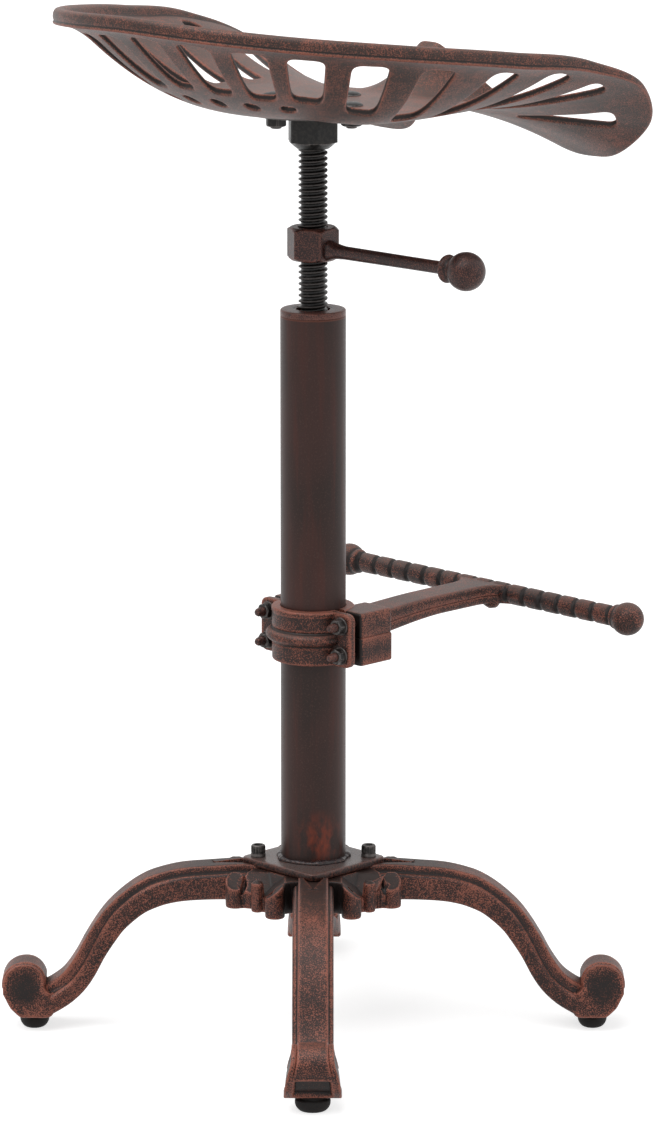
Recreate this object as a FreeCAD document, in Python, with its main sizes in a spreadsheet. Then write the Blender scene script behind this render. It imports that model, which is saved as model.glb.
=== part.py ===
import FreeCAD, Part
import math
import os
import Sketcher
from FreeCAD import Rotation, Vector

# Tractor seat stool: four scrolled legs in one casting, a welded tube column with a screw spindle,
# a lock nut with a ball handle, a clamped footrest and a slotted dished seat.
# Frame: +Z up, origin on the floor at the column's axis, legs along X and Y. Millimetres and degrees.

SIZES = {
    # Leg casting
    "leg_top": 117.5,
    "leg_root_depth": 24.0,
    "leg_width": 28.0,
    "leg_rib_width": 20.7,
    "leg_shoulder_drop": 5.5,
    "leg_knee_reach": 84.0,
    "leg_knee_radius": 71.0,
    "leg_under_radius": 62.0,
    "leg_slope": 57.0,
    "leg_shin_length": 38.0,
    "leg_under_shin": 36.0,
    "leg_ankle_radius": 60.0,
    "leg_ankle_slope": 36.0,
    "leg_instep_radius": 45.0,
    "leg_instep_slope": 28.0,
    "foot_reach": 195.2,
    "foot_height": 6.5,
    "foot_length": 24.0,
    "foot_width": 39.0,
    "foot_crest": 22.0,
    "scroll_radius": 16.2,
    "scroll_reach": 202.0,
    "scroll_height": 29.5,
    "scroll_width": 26.0,
    "scroll_eye_radius": 4.5,
    "scroll_eye_proud": 1.5,
    "pocket_length": 20.0,
    "pocket_width": 13.0,
    "pocket_depth": 2.0,
    "bracket_height": 11.0,
    "bracket_reach": 49.0,
    "volute_along": 54.0,
    "volute_side": 26.3,
    "volute_radius": 6.85,
    "bead_side": 38.5,
    "bead_radius": 4.4,
    # Foot pads
    "pad_top_radius": 10.0,
    "pad_floor_radius": 7.2,
    "pad_screw_radius": 2.5,
    "pad_screw_length": 12.0,
    "pad_recess": 2.0,
    # Base plate and its screws
    "plate_half_diagonal": 50.7,
    "plate_thickness": 5.0,
    "plate_corner": 4.0,
    "screw_reach": 38.4,
    "screw_radius": 3.0,
    "screw_length": 16.0,
    "screw_head_radius": 4.9,
    "screw_head_height": 6.0,
    "screw_socket_flats": 5.0,
    "screw_socket_depth": 3.0,
    "screw_washer_radius": 5.8,
    "screw_washer_height": 2.4,
    # Column
    "tube_radius": 22.5,
    "tube_wall": 2.0,
    "tube_length": 382.5,
    "weld_leg": 4.0,
    "cap_height": 4.5,
    "cap_hole_radius": 11.75,
    "nut_length": 32.0,
    # Spindle
    "thread_radius": 10.0,
    "thread_pitch": 4.0,
    "thread_depth": 1.75,
    "thread_clearance": 0.05,
    "spindle_above_cap": 110.0,
    "spindle_lift": 90.0,
    "spindle_in_boss": 18.0,
    "stop_radius": 16.0,
    "stop_height": 8.0,
    # Lock nut and handle
    "locknut_rise": 34.0,
    "locknut_height": 22.6,
    "locknut_flats": 32.0,
    "locknut_turn": 17.0,
    "locknut_chamfer": 1.6,
    "handle_rod_radius": 4.4,
    "handle_rod_seat": 4.0,
    "handle_drop": 2.8,
    "handle_reach": 143.0,
    "handle_ball_radius": 13.2,
    "handle_collar_radius": 9.4,
    "handle_collar_length": 7.0,
    # Seat boss, flange and bolts
    "boss_flats": 32.0,
    "boss_height": 20.0,
    "boss_cone_height": 5.5,
    "boss_turn": 36.0,
    "flange_radius": 48.0,
    "flange_thickness": 3.0,
    "seat_bolt_circle": 36.0,
    "seat_bolt_radius": 4.0,
    "seat_bolt_head_radius": 9.0,
    "seat_bolt_head_height": 4.2,
    "seat_bolt_tail": 1.5,
    "seat_nut_flats": 13.0,
    "seat_nut_height": 6.4,
    # Seat pan
    "seat_turn": 46.5,
    "seat_wall": 5.0,
    "seat_rim_height": 11.0,
    "seat_rim_width": 12.0,
    "seat_flare": 1.27,
    "seat_lobe_edge": 45.0,
    "seat_lobe_blend": 40.0,
    "seat_recess": 0.6,
    "seat_floor": 50.0,
    "seat_side_floor": 88.0,
    "seat_bend": 2.0,
    "seat_side_bend": 1.55,
    "seat_side_start": 35.0,
    "seat_side_end": 110.0,
    "seat_side_blend": 35.0,
    "slot_inner_corner": 9.0,
    "slot_outer_corner": 6.0,
    "oval_reach": 104.0,
    "oval_spacing": 13.8,
    "oval_length": 13.0,
    "oval_width": 10.0,
    # Footrest
    "clamp_middle": 283.5,
    "clamp_height": 41.0,
    "clamp_wall": 6.0,
    "clamp_slip": 0.05,
    "clamp_rib_radius": 5.0,
    "clamp_gap": 5.0,
    "ear_reach": 43.5,
    "ear_thickness": 5.5,
    "clamp_turn": 45.0,
    "clamp_bolt_side": 35.4,
    "clamp_bolt_rise": 10.4,
    "clamp_bolt_radius": 3.0,
    "clamp_bolt_tail": 6.0,
    "clamp_nut_flats": 10.0,
    "clamp_nut_height": 5.0,
    "clamp_washer_radius": 6.2,
    "clamp_washer_height": 1.4,
    "block_depth": 31.5,
    "block_corner": 12.0,
    "arm_width": 26.0,
    "arm_height": 13.0,
    "arm_flare": 16.0,
    "bar_reach": 172.5,
    "bar_rise": 2.5,
    "bar_radius": 6.8,
    "bar_ball_side": 136.0,
    "bar_ball_radius": 11.8,
    "bar_groove_pitch": 11.3,
    "bar_groove_depth": 1.2,
    # Length of the long cutters, and clearances of holes and between parts of different bodies
    "tool_reach": 260.0,
    "hole_clearance": 0.3,
    "free_gap": 0.3,
}

# Sizes that follow from the ones above
DERIVED = {
    "leg_bottom": "=leg_top - leg_root_depth",
    "plate_top": "=leg_top + plate_thickness",
    "tube_bore": "=tube_radius - tube_wall",
    "tube_top": "=plate_top + tube_length",
    "weld_top": "=plate_top + weld_leg",
    "weld_radius": "=tube_radius + weld_leg",
    "cap_top": "=tube_top + cap_height",
    "nut_radius": "=tube_bore - thread_clearance",
    "nut_bore": "=thread_radius + thread_clearance",
    "nut_bottom": "=tube_top - nut_length",
    "boss_bottom": "=cap_top + spindle_above_cap",
    "boss_hex_bottom": "=boss_bottom + boss_cone_height",
    "boss_top": "=boss_hex_bottom + boss_height",
    "boss_bore_top": "=boss_bottom + spindle_in_boss + free_gap",
    "boss_across": "=boss_flats / 2",
    "spindle_top": "=boss_bottom + spindle_in_boss",
    "stop_top": "=nut_bottom - spindle_lift - free_gap",
    "stop_bottom": "=stop_top - stop_height",
    "flange_top": "=boss_top + flange_thickness",
    "locknut_bottom": "=cap_top + locknut_rise",
    "locknut_top": "=locknut_bottom + locknut_height",
    "pad_top": "=foot_height + pad_recess",
    "pad_screw_bottom": "=pad_recess",
    "screw_shoulder": "=plate_top + screw_washer_height",
    "screw_top": "=screw_shoulder + screw_head_height",
    "screw_tip": "=screw_shoulder - screw_length - plate_thickness",
    "collar_start": "=handle_reach - sqrt(handle_ball_radius ^ 2 - handle_rod_radius ^ 2) - handle_collar_length",
    "clamp_bore": "=tube_radius + clamp_slip",
    "clamp_radius": "=tube_radius + clamp_wall",
    "clamp_bottom": "=clamp_middle - clamp_height / 2",
    "clamp_top": "=clamp_middle + clamp_height / 2",
    "bar_height": "=clamp_middle + bar_rise",
    "clamp_cut_length": "=2 * (ear_reach + block_depth)",
    "seat_cut_depth": "=tool_reach / 2",
}

# Rim of the seat from the front centre round to the back centre: angle from straight ahead,
# reach from the spindle's axis, and height of the rim's top edge above the flange
RIM = [
    (0, 118.0, 32.0),
    (10, 133.0, 14.0),
    (20, 182.0, -29.0),
    (30, 206.0, -39.0),
    (38, 214.0, -31.0),
    (46, 226.0, -9.0),
    (56, 222.0, 20.0),
    (70, 204.0, 43.0),
    (90, 185.0, 54.0),
    (115, 174.0, 63.0),
    (140, 174.0, 70.0),
    (160, 179.0, 75.0),
    (180, 181.0, 78.0),
]

# Slots of the pan, from the back centre round to the front lobes; each is cut on both sides.
# Angle from the back and reach of the inner end, the same for the outer end, then both widths
SLOTS = [
    (0.0, 120.0, 0.0, 159.0, 17.0, 24.0),
    (13.8, 118.0, 14.0, 159.0, 17.0, 24.0),
    (27.6, 114.0, 28.0, 158.0, 18.0, 25.0),
    (41.8, 108.0, 42.0, 157.0, 20.0, 26.0),
    (60.0, 104.0, 58.0, 156.0, 20.0, 26.0),
    (79.0, 100.0, 75.5, 157.0, 18.0, 25.0),
    (97.0, 100.0, 94.0, 164.0, 16.0, 22.0),
    (114.0, 104.0, 108.5, 181.0, 12.0, 20.0),
    (127.0, 118.0, 119.5, 200.0, 8.0, 20.0),
    (140.0, 140.0, 133.5, 205.0, 5.0, 22.0),
]

doc = FreeCAD.newDocument("tractor_seat_stool")
sheet = doc.addObject("Spreadsheet::Sheet", "Sizes")
for row, (alias, value) in enumerate(list(SIZES.items()) + list(DERIVED.items()), start=1):
    sheet.set("A%d" % row, alias)
    sheet.set("B%d" % row, str(value))
    sheet.setAlias("B%d" % row, alias)
doc.recompute()

NODES = []
UP = Vector(0, 0, 1)
CENTRE = Vector(0, 0, 0)


def size(alias):
    """A size of the sheet as a plain number."""
    return float(sheet.get(alias))


def keep(obj, label):
    """Gives a finished object its node name and puts it on the export list."""
    obj.Label = label
    NODES.append(obj)
    return obj


def origin_plane(body, role):
    """One of a body's own origin planes."""
    return [item for item in body.Origin.OriginFeatures if item.Role == role][0]


def closed_sketch(body, name, role, corners):
    """A closed outline of straight lines whose corners are held by aliases of the sheet.

    Each corner is a pair of aliases; None puts that coordinate on the sketch's axis."""
    sketch = body.newObject("Sketcher::SketchObject", name)
    sketch.AttachmentSupport = [(origin_plane(body, role), "")]
    sketch.MapMode = "FlatFace"
    points = [Vector(size(across) if across else 0, size(along) if along else 0, 0)
              for across, along in corners]
    for index, point in enumerate(points):
        sketch.addGeometry(Part.LineSegment(point, points[(index + 1) % len(points)]), False)
    for index, (across, along) in enumerate(corners):
        following = (index + 1) % len(points)
        sketch.addConstraint(Sketcher.Constraint("Coincident", index, 2, following, 1))
        if across:
            place = Sketcher.Constraint("DistanceX", -1, 1, index, 1, size(across))
            number = sketch.addConstraint(place)
            sketch.setExpression("Constraints[%d]" % number, "Sizes." + across)
        else:
            sketch.addConstraint(Sketcher.Constraint("PointOnObject", index, 1, -2))
        if along:
            place = Sketcher.Constraint("DistanceY", -1, 1, index, 1, size(along))
            number = sketch.addConstraint(place)
            sketch.setExpression("Constraints[%d]" % number, "Sizes." + along)
        else:
            sketch.addConstraint(Sketcher.Constraint("PointOnObject", index, 1, -1))
    return sketch


def turned(name, corners):
    """A lathe-turned body: its half section spun about Z."""
    body = doc.addObject("PartDesign::Body", name)
    sketch = closed_sketch(body, name + "_section", "XZ_Plane", corners)
    spin = body.newObject("PartDesign::Revolution", name + "_spin")
    spin.Profile = sketch
    spin.ReferenceAxis = (sketch, ["V_Axis"])
    spin.Angle = 360
    doc.recompute()
    return body


def cylinder(name, radius, height):
    """A Part cylinder whose radius and height follow expressions of the sheet."""
    obj = doc.addObject("Part::Cylinder", name)
    obj.setExpression("Radius", radius)
    obj.setExpression("Height", height)
    return obj


def hexagon(name, flats, height):
    """A Part prism with six sides, sized across its flats."""
    obj = doc.addObject("Part::Prism", name)
    obj.Polygon = 6
    obj.setExpression("Circumradius", "%s / sqrt(3)" % flats)
    obj.setExpression("Height", height)
    return obj


def boolean(kind, name, base, tool):
    """A Part boolean of two objects."""
    obj = doc.addObject("Part::" + kind, name)
    obj.Base = base
    obj.Tool = tool
    doc.recompute()
    return obj


def solid_feature(label, shape, placement=None):
    """A node whose shape is worked out here from the sheet's sizes."""
    obj = doc.addObject("Part::Feature", label)
    obj.Shape = shape
    if placement:
        obj.Placement = placement
    return keep(obj, label)


def copies(master, placements):
    """A group of separate solids: one master shape at several places."""
    group = []
    for placement in placements:
        copy = master.copy()
        copy.Placement = placement.multiply(copy.Placement)
        group.append(copy)
    return Part.makeCompound(group)


def at(reach, angle, height=0.0):
    """A place at a reach and angle about the column's axis, turned to face outwards."""
    turn = Rotation(UP, angle)
    return FreeCAD.Placement(turn.multVec(Vector(reach, 0, height)), turn)


def arc_by_slopes(start, radius, slope_from, slope_to):
    """The arc from a point on, turning from one downward slope to another, and its end point."""
    def on_arc(slope):
        run = radius * abs(math.sin(math.radians(slope)) - math.sin(math.radians(slope_from)))
        fall = radius * abs(math.cos(math.radians(slope)) - math.cos(math.radians(slope_from)))
        return start + Vector(run, 0, -fall)

    middle = on_arc((slope_from + slope_to) / 2)
    end = on_arc(slope_to)
    return Part.Arc(start, middle, end).toShape(), end


def s_line(start, radius, slope, shin, ankle_radius, ankle_slope):
    """A leg's long edge: an arc over the knee, a straight shin and an arc into the ankle."""
    knee, knee_end = arc_by_slopes(start, radius, 0, slope)
    fall = Vector(math.cos(math.radians(slope)), 0, -math.sin(math.radians(slope)))
    shin_end = knee_end + fall * shin
    ankle, ankle_end = arc_by_slopes(shin_end, ankle_radius, slope, ankle_slope)
    return [knee, Part.LineSegment(knee_end, shin_end).toShape(), ankle], ankle_end


def line(first, second):
    """A straight edge."""
    return Part.LineSegment(first, second).toShape()


def plate_solid(edges, width):
    """A side outline in the XZ plane given a width about that plane."""
    face = Part.Face(Part.Wire(Part.__sortEdges__(edges)))
    face.translate(Vector(0, -width / 2, 0))
    return face.extrude(Vector(0, width, 0))


def polygon_prism(points, bottom, height):
    """A prism over a closed polygon of plan points."""
    wire = Part.makePolygon([Vector(x, y, bottom) for x, y in points + points[:1]])
    return Part.Face(wire).extrude(Vector(0, 0, height))


def leg_shape():
    """One leg along +X: S-shaped bar with a raised rib, flared foot and scroll."""
    knee = size("leg_knee_reach")
    bottom = size("leg_bottom")
    foot = size("foot_reach")
    half_foot = size("foot_length") / 2
    under, instep = s_line(Vector(knee, 0, bottom), size("leg_under_radius"), size("leg_slope"),
                           size("leg_under_shin"), size("leg_instep_radius"), size("leg_instep_slope"))
    heel = Vector(foot - half_foot, 0, size("foot_height"))
    toe = Vector(foot + half_foot, 0, size("foot_height"))
    scroll = Vector(size("scroll_reach"), 0, size("scroll_height"))
    solids = []
    for drop, width in ((0.0, size("leg_rib_width")), (size("leg_shoulder_drop"), size("leg_width"))):
        top = size("leg_top") - drop
        radius = size("leg_knee_radius") - drop
        upper, ankle = s_line(Vector(knee, 0, top), radius, size("leg_slope"), size("leg_shin_length"),
                              size("leg_ankle_radius") + drop, size("leg_ankle_slope"))
        outline = [line(Vector(0, 0, top), Vector(knee, 0, top))] + upper
        outline += [line(ankle, scroll), line(scroll, toe), line(toe, heel), line(heel, instep)] + under
        outline += [line(Vector(0, 0, bottom), Vector(knee, 0, bottom)),
                    line(Vector(0, 0, bottom), Vector(0, 0, top))]
        solids.append(plate_solid(outline, width))
    half_scroll = size("scroll_width") / 2
    proud = size("scroll_eye_proud")
    disc = Part.makeCylinder(size("scroll_radius"), 2 * half_scroll,
                             scroll - Vector(0, half_scroll, 0), Vector(0, 1, 0))
    eye = Part.makeCylinder(size("scroll_eye_radius"), 2 * (half_scroll + proud),
                            scroll - Vector(0, half_scroll + proud, 0), Vector(0, 1, 0))
    sole = foot_block(half_foot, size("foot_width"), size("foot_height"))
    crest = foot_block(half_foot, size("leg_width"), size("foot_crest"))
    flare = Part.makeLoft([sole, crest], True, True)
    return solids[0].multiFuse([solids[1], disc, eye, flare])


def foot_block(half_length, width, height):
    """A rectangle round the foot's centre at one height, for the flare of the foot."""
    reach = size("foot_reach")
    corners = [Vector(reach + x * half_length, y * width / 2, height)
               for x, y in ((-1, -1), (1, -1), (1, 1), (-1, 1), (-1, -1))]
    return Part.makePolygon(corners)


def bracket_shape():
    """The scrolled bracket beside one leg, up to the diagonal, and its mirror image across it."""
    along = size("volute_along")
    side = size("volute_side")
    radius = size("volute_radius")
    bead = size("bead_side")
    bottom = size("leg_bottom")
    height = size("bracket_height")
    half_leg = size("leg_width") / 2
    web = polygon_prism([(0, 0), (along + radius, 0), (along + radius, half_leg),
                         (along + radius, side), (along - radius / 2, side + radius / 2),
                         (bead + size("bead_radius") / 2, bead)], bottom, height)
    volute = Part.makeCylinder(radius, height, Vector(along, side, bottom))
    knob = Part.makeCylinder(size("bead_radius"), height + 1, Vector(bead, bead, bottom))
    half = web.multiFuse([volute, knob])
    twin = half.mirror(CENTRE, Vector(1, -1, 0))
    return half.fuse(twin)


def square_wire(half_side, height):
    """A square turned by 45 degrees, its corners on the X and Y axes."""
    reach = half_side * math.sqrt(2)
    corners = [Vector(reach, 0, height), Vector(0, reach, height),
               Vector(-reach, 0, height), Vector(0, -reach, height), Vector(reach, 0, height)]
    return Part.makePolygon(corners)


def leg_casting():
    """The four legs, the hub under the plate and the brackets between the legs."""
    shoulder = size("leg_bottom") + size("bracket_height")
    plate_side = size("plate_half_diagonal") / math.sqrt(2)
    leg = leg_shape()
    bracket = bracket_shape()
    hub = Part.makeLoft([square_wire(size("bracket_reach"), shoulder),
                         square_wire(plate_side, size("leg_top"))], True, True)
    core = polygon_prism([(size("bracket_reach"), 0), (0, size("bracket_reach")),
                          (-size("bracket_reach"), 0), (0, -size("bracket_reach"))],
                         size("leg_bottom"), size("bracket_height"))
    parts = [core]
    for quarter in range(4):
        for piece in (leg, bracket):
            turned_piece = piece.copy()
            turned_piece.rotate(CENTRE, UP, 90 * quarter)
            parts.append(turned_piece)
    casting = hub.multiFuse(parts)
    start = size("plate_half_diagonal") - 1
    pocket = polygon_prism([(start, size("pocket_width") / 2), (start, -size("pocket_width") / 2),
                            (start + size("pocket_length"), 0)],
                           size("leg_top") - size("pocket_depth"), size("pocket_depth") + 1)
    cuts = list(copies(pocket, [at(0, 90 * quarter) for quarter in range(4)]).Solids)
    for side in (0, 180):
        hole = Part.makeCylinder(size("screw_radius") + size("thread_clearance"), size("leg_root_depth") + 2,
                                 Vector(0, 0, size("leg_bottom") - 1))
        hole.Placement = at(size("screw_reach"), side).multiply(hole.Placement)
        cuts.append(hole)
    for quarter in range(4):
        hole = Part.makeCylinder(size("pad_screw_radius") + size("thread_clearance"),
                                 size("pad_screw_length") + size("free_gap"))
        hole.Placement = at(size("foot_reach"), 90 * quarter, size("foot_height") - size("free_gap"))
        cuts.append(hole)
        seat = Part.makeCylinder(size("pad_top_radius") + size("thread_clearance"), size("pad_recess"))
        seat.Placement = at(size("foot_reach"), 90 * quarter, size("foot_height"))
        cuts.append(seat)
    return casting.cut(cuts).removeSplitter()


def rim_slope(index, column):
    """Slope of a rim value against angle at one station, level at the front and back centres."""
    if index in (0, len(RIM) - 1):
        return 0.0
    before, here, after = RIM[index - 1], RIM[index], RIM[index + 1]
    back = here[0] - before[0]
    ahead = after[0] - here[0]
    rise_back = (here[column] - before[column]) / back
    rise_ahead = (after[column] - here[column]) / ahead
    return (rise_back * ahead + rise_ahead * back) / (back + ahead)


def rim_value(angle, column):
    """Reach (column 1) or height (column 2) of the rim at an angle: cubic curves between stations."""
    angle = abs((angle + 180) % 360 - 180)
    index = max(i for i in range(len(RIM) - 1) if RIM[i][0] <= angle)
    first, second = RIM[index], RIM[index + 1]
    span = second[0] - first[0]
    part = (angle - first[0]) / span
    start = rim_slope(index, column) * span
    finish = rim_slope(index + 1, column) * span
    return ((2 * part ** 3 - 3 * part ** 2 + 1) * first[column]
            + (part ** 3 - 2 * part ** 2 + part) * start
            + (3 * part ** 2 - 2 * part ** 3) * second[column]
            + (part ** 3 - part ** 2) * finish)


def bowl_share(angle):
    """One round the back and sides of the seat and none over the front lobes, with a smooth change."""
    angle = abs((angle + 180) % 360 - 180)
    part = min(max((angle - size("seat_lobe_edge")) / size("seat_lobe_blend"), 0), 1)
    return part * part * (3 - 2 * part)


def side_share(angle):
    """One along the seat's two sides and none at its front and back, with smooth changes."""
    angle = abs((angle + 180) % 360 - 180)
    blend = size("seat_side_blend")
    first = min(max((angle - size("seat_side_start")) / blend, 0), 1)
    last = min(max((angle - size("seat_side_end")) / blend, 0), 1)
    return first * first * (3 - 2 * first) - last * last * (3 - 2 * last)


def pan_height(forward, sideways):
    """Height of the pan's underside: a level floor, then a rise to the rim, eased under the rolled edge."""
    angle = math.degrees(math.atan2(sideways, forward))
    share = bowl_share(angle)
    side = side_share(angle)
    floor = size("seat_floor") + (size("seat_side_floor") - size("seat_floor")) * side
    power = size("seat_bend") + (size("seat_side_bend") - size("seat_bend")) * side
    extra = max((size("seat_flare") - 1) * share, 0.0001)
    full = 1 + extra
    ease = 2 * extra / (power * full)
    bend = extra / ease ** 2
    out = max(math.hypot(forward, sideways) - floor, 0) / (rim_value(angle, 1) - floor)
    if out <= 1:
        rise = full * out ** power - bend * max(out - 1 + ease, 0) ** 2
    else:
        rise = 1 + (power * full - 2 * bend * ease) * (out - 1)
    edge = size("seat_wall") + (size("seat_rim_height") - size("seat_wall")) * share
    recess = size("seat_recess")
    return size("flange_top") - recess + (rim_value(angle, 2) - edge + recess) * rise


def pan_surface(lift):
    """The pan's surface, lifted by some height, over a rectangle a little larger than the seat."""
    reach = max(station[1] for station in RIM) + 5
    count = 48
    rows = []
    for i in range(count):
        forward = reach * (2 * i / (count - 1) - 1)
        rows.append([])
        for j in range(count):
            sideways = reach * (2 * j / (count - 1) - 1)
            rows[-1].append(Vector(forward, sideways, pan_height(forward, sideways) + lift))
    surface = Part.BSplineSurface()
    surface.interpolate(rows)
    return surface.toShape()


def rim_prism(inset):
    """An upright prism over the seat's outline, moved in by an inset that depends on the angle."""
    floor = size("flange_top") - size("seat_cut_depth")
    points = []
    for step in range(90):
        angle = 4.0 * step
        reach = rim_value(angle, 1) - inset(angle)
        radians = math.radians(angle)
        points.append(Vector(reach * math.cos(radians), reach * math.sin(radians), floor))
    curve = Part.BSplineCurve()
    curve.interpolate(Points=points, PeriodicFlag=True)
    return Part.Face(Part.Wire([curve.toShape()])).extrude(Vector(0, 0, size("tool_reach")))


def polar(reach, angle):
    """A plan point of the seat: reach from the spindle's axis and angle from straight ahead."""
    return Vector(reach * math.cos(math.radians(angle)), reach * math.sin(math.radians(angle)), 0)


def slot_tool(inner, outer, inner_width, outer_width):
    """An upright cutter between two plan points, with its own width and corner rounding at each end."""
    floor = Vector(0, 0, size("flange_top") - size("seat_cut_depth"))
    along = (outer - inner).normalize()
    across = Vector(-along.y, along.x, 0)
    corners = [inner - across * inner_width / 2, inner + across * inner_width / 2,
               outer + across * outer_width / 2, outer - across * outer_width / 2]
    corners = [corner + floor for corner in corners]
    tool = Part.Face(Part.makePolygon(corners + corners[:1])).extrude(Vector(0, 0, size("tool_reach")))
    upright = [edge for edge in tool.Edges if abs(edge.tangentAt(edge.FirstParameter).z) > 0.9]
    near = [edge for edge in upright if (edge.CenterOfMass - inner).dot(along) < 1]
    tool = tool.makeFillet(min(size("slot_inner_corner"), 0.45 * inner_width), near)
    upright = [edge for edge in tool.Edges if abs(edge.tangentAt(edge.FirstParameter).z) > 0.9]
    far = [edge for edge in upright if (edge.CenterOfMass - outer).dot(along) > -1
           and abs((edge.CenterOfMass - outer).dot(across)) > 0.4 * outer_width]
    return tool.makeFillet(size("slot_outer_corner"), far)


def oval_tool(angle):
    """An upright cutter for one small oval, long along the reach."""
    half = (size("oval_length") - size("oval_width")) / 2
    floor = Vector(0, 0, size("flange_top") - size("seat_cut_depth"))
    ends = [polar(size("oval_reach") + shift, angle) + floor for shift in (-half, half)]
    rounds = [Part.makeCylinder(size("oval_width") / 2, size("tool_reach"), end) for end in ends]
    along = (ends[1] - ends[0]).normalize()
    across = Vector(-along.y, along.x, 0) * size("oval_width") / 2
    corners = [ends[0] - across, ends[0] + across, ends[1] + across, ends[1] - across, ends[0] - across]
    bar = Part.Face(Part.makePolygon(corners)).extrude(Vector(0, 0, size("tool_reach")))
    return rounds[0].multiFuse([rounds[1], bar]).removeSplitter()


def seat_pan():
    """The cast seat: dished pan, rolled rim, slots, small ovals, holes and a shallow recess for the flange."""
    pan = pan_surface(0).extrude(Vector(0, 0, size("seat_rim_height")))
    pan = pan.common(rim_prism(lambda angle: 0))
    bowl = pan_surface(size("seat_wall")).extrude(Vector(0, 0, 90))
    bowl = bowl.common(rim_prism(lambda angle: size("seat_rim_width") * bowl_share(angle) - 3))
    pan = pan.cut(bowl)
    tools = []
    for inner_angle, inner, outer_angle, outer, inner_width, outer_width in SLOTS:
        for side in (-1, 1) if inner_angle else (1,):
            tools.append(slot_tool(polar(inner, 180 + side * inner_angle),
                                   polar(outer, 180 + side * outer_angle), inner_width, outer_width))
    for side in (-1, 1):
        for step in range(4):
            tools.append(oval_tool(180 + side * (step + 0.5) * size("oval_spacing")))
    for quarter in range(4):
        hole = Part.makeCylinder(size("seat_bolt_radius") + size("hole_clearance"), 40,
                                 Vector(0, 0, size("flange_top") - 10))
        hole.Placement = at(size("seat_bolt_circle"), 90 * quarter).multiply(hole.Placement)
        tools.append(hole)
    seating = size("flange_radius") + size("hole_clearance")
    tools.append(Part.makeCylinder(seating, size("seat_cut_depth"),
                                   Vector(0, 0, size("flange_top") - size("seat_cut_depth"))))
    return pan.cut(tools)


def clamp_local(shape):
    """Turns a clamp piece, built with the arm along +X, to the arm's real direction."""
    shape.rotate(CENTRE, UP, size("clamp_turn"))
    return shape


def clamp_bolt_places():
    """Side and height of the four clamp bolts."""
    side = size("clamp_bolt_side")
    rise = size("clamp_bolt_rise")
    return [(y * side, size("clamp_middle") + z * rise) for y in (-1, 1) for z in (-1, 1)]


def along_arm(radius, start, length):
    """Four cylinders along the arm's direction at the clamp bolts' places."""
    return [Part.makeCylinder(radius, length, Vector(start, side, height), Vector(1, 0, 0))
            for side, height in clamp_bolt_places()]


def clamp_front_shape():
    """The front half of the footrest clamp: half ring, two ears and a half-round rib."""
    bottom = size("clamp_bottom")
    height = size("clamp_height")
    half_gap = size("clamp_gap") / 2
    ear = size("ear_reach")
    ring = Part.makeCylinder(size("clamp_radius"), height, Vector(0, 0, bottom))
    rib = Part.makeTorus(size("clamp_radius"), size("clamp_rib_radius"),
                         Vector(0, 0, size("clamp_middle") - 2))
    ears = Part.makeBox(size("ear_thickness"), 2 * ear, height,
                        Vector(-half_gap - size("ear_thickness"), -ear, bottom))
    upright = [edge for edge in ears.Edges if abs(edge.tangentAt(edge.FirstParameter).x) > 0.9]
    ears = ears.makeFillet(4, upright)
    whole = ring.multiFuse([rib, ears])
    front = Part.makeBox(200, 200, height + 20, Vector(-200 - half_gap, -100, bottom - 10))
    half = whole.common(front)
    bore = Part.makeCylinder(size("clamp_bore"), height + 20, Vector(0, 0, bottom - 10))
    holes = along_arm(size("clamp_bolt_radius") + size("hole_clearance"), -size("clamp_cut_length"),
                      size("clamp_cut_length"))
    return clamp_local(half.cut([bore] + holes))


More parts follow.
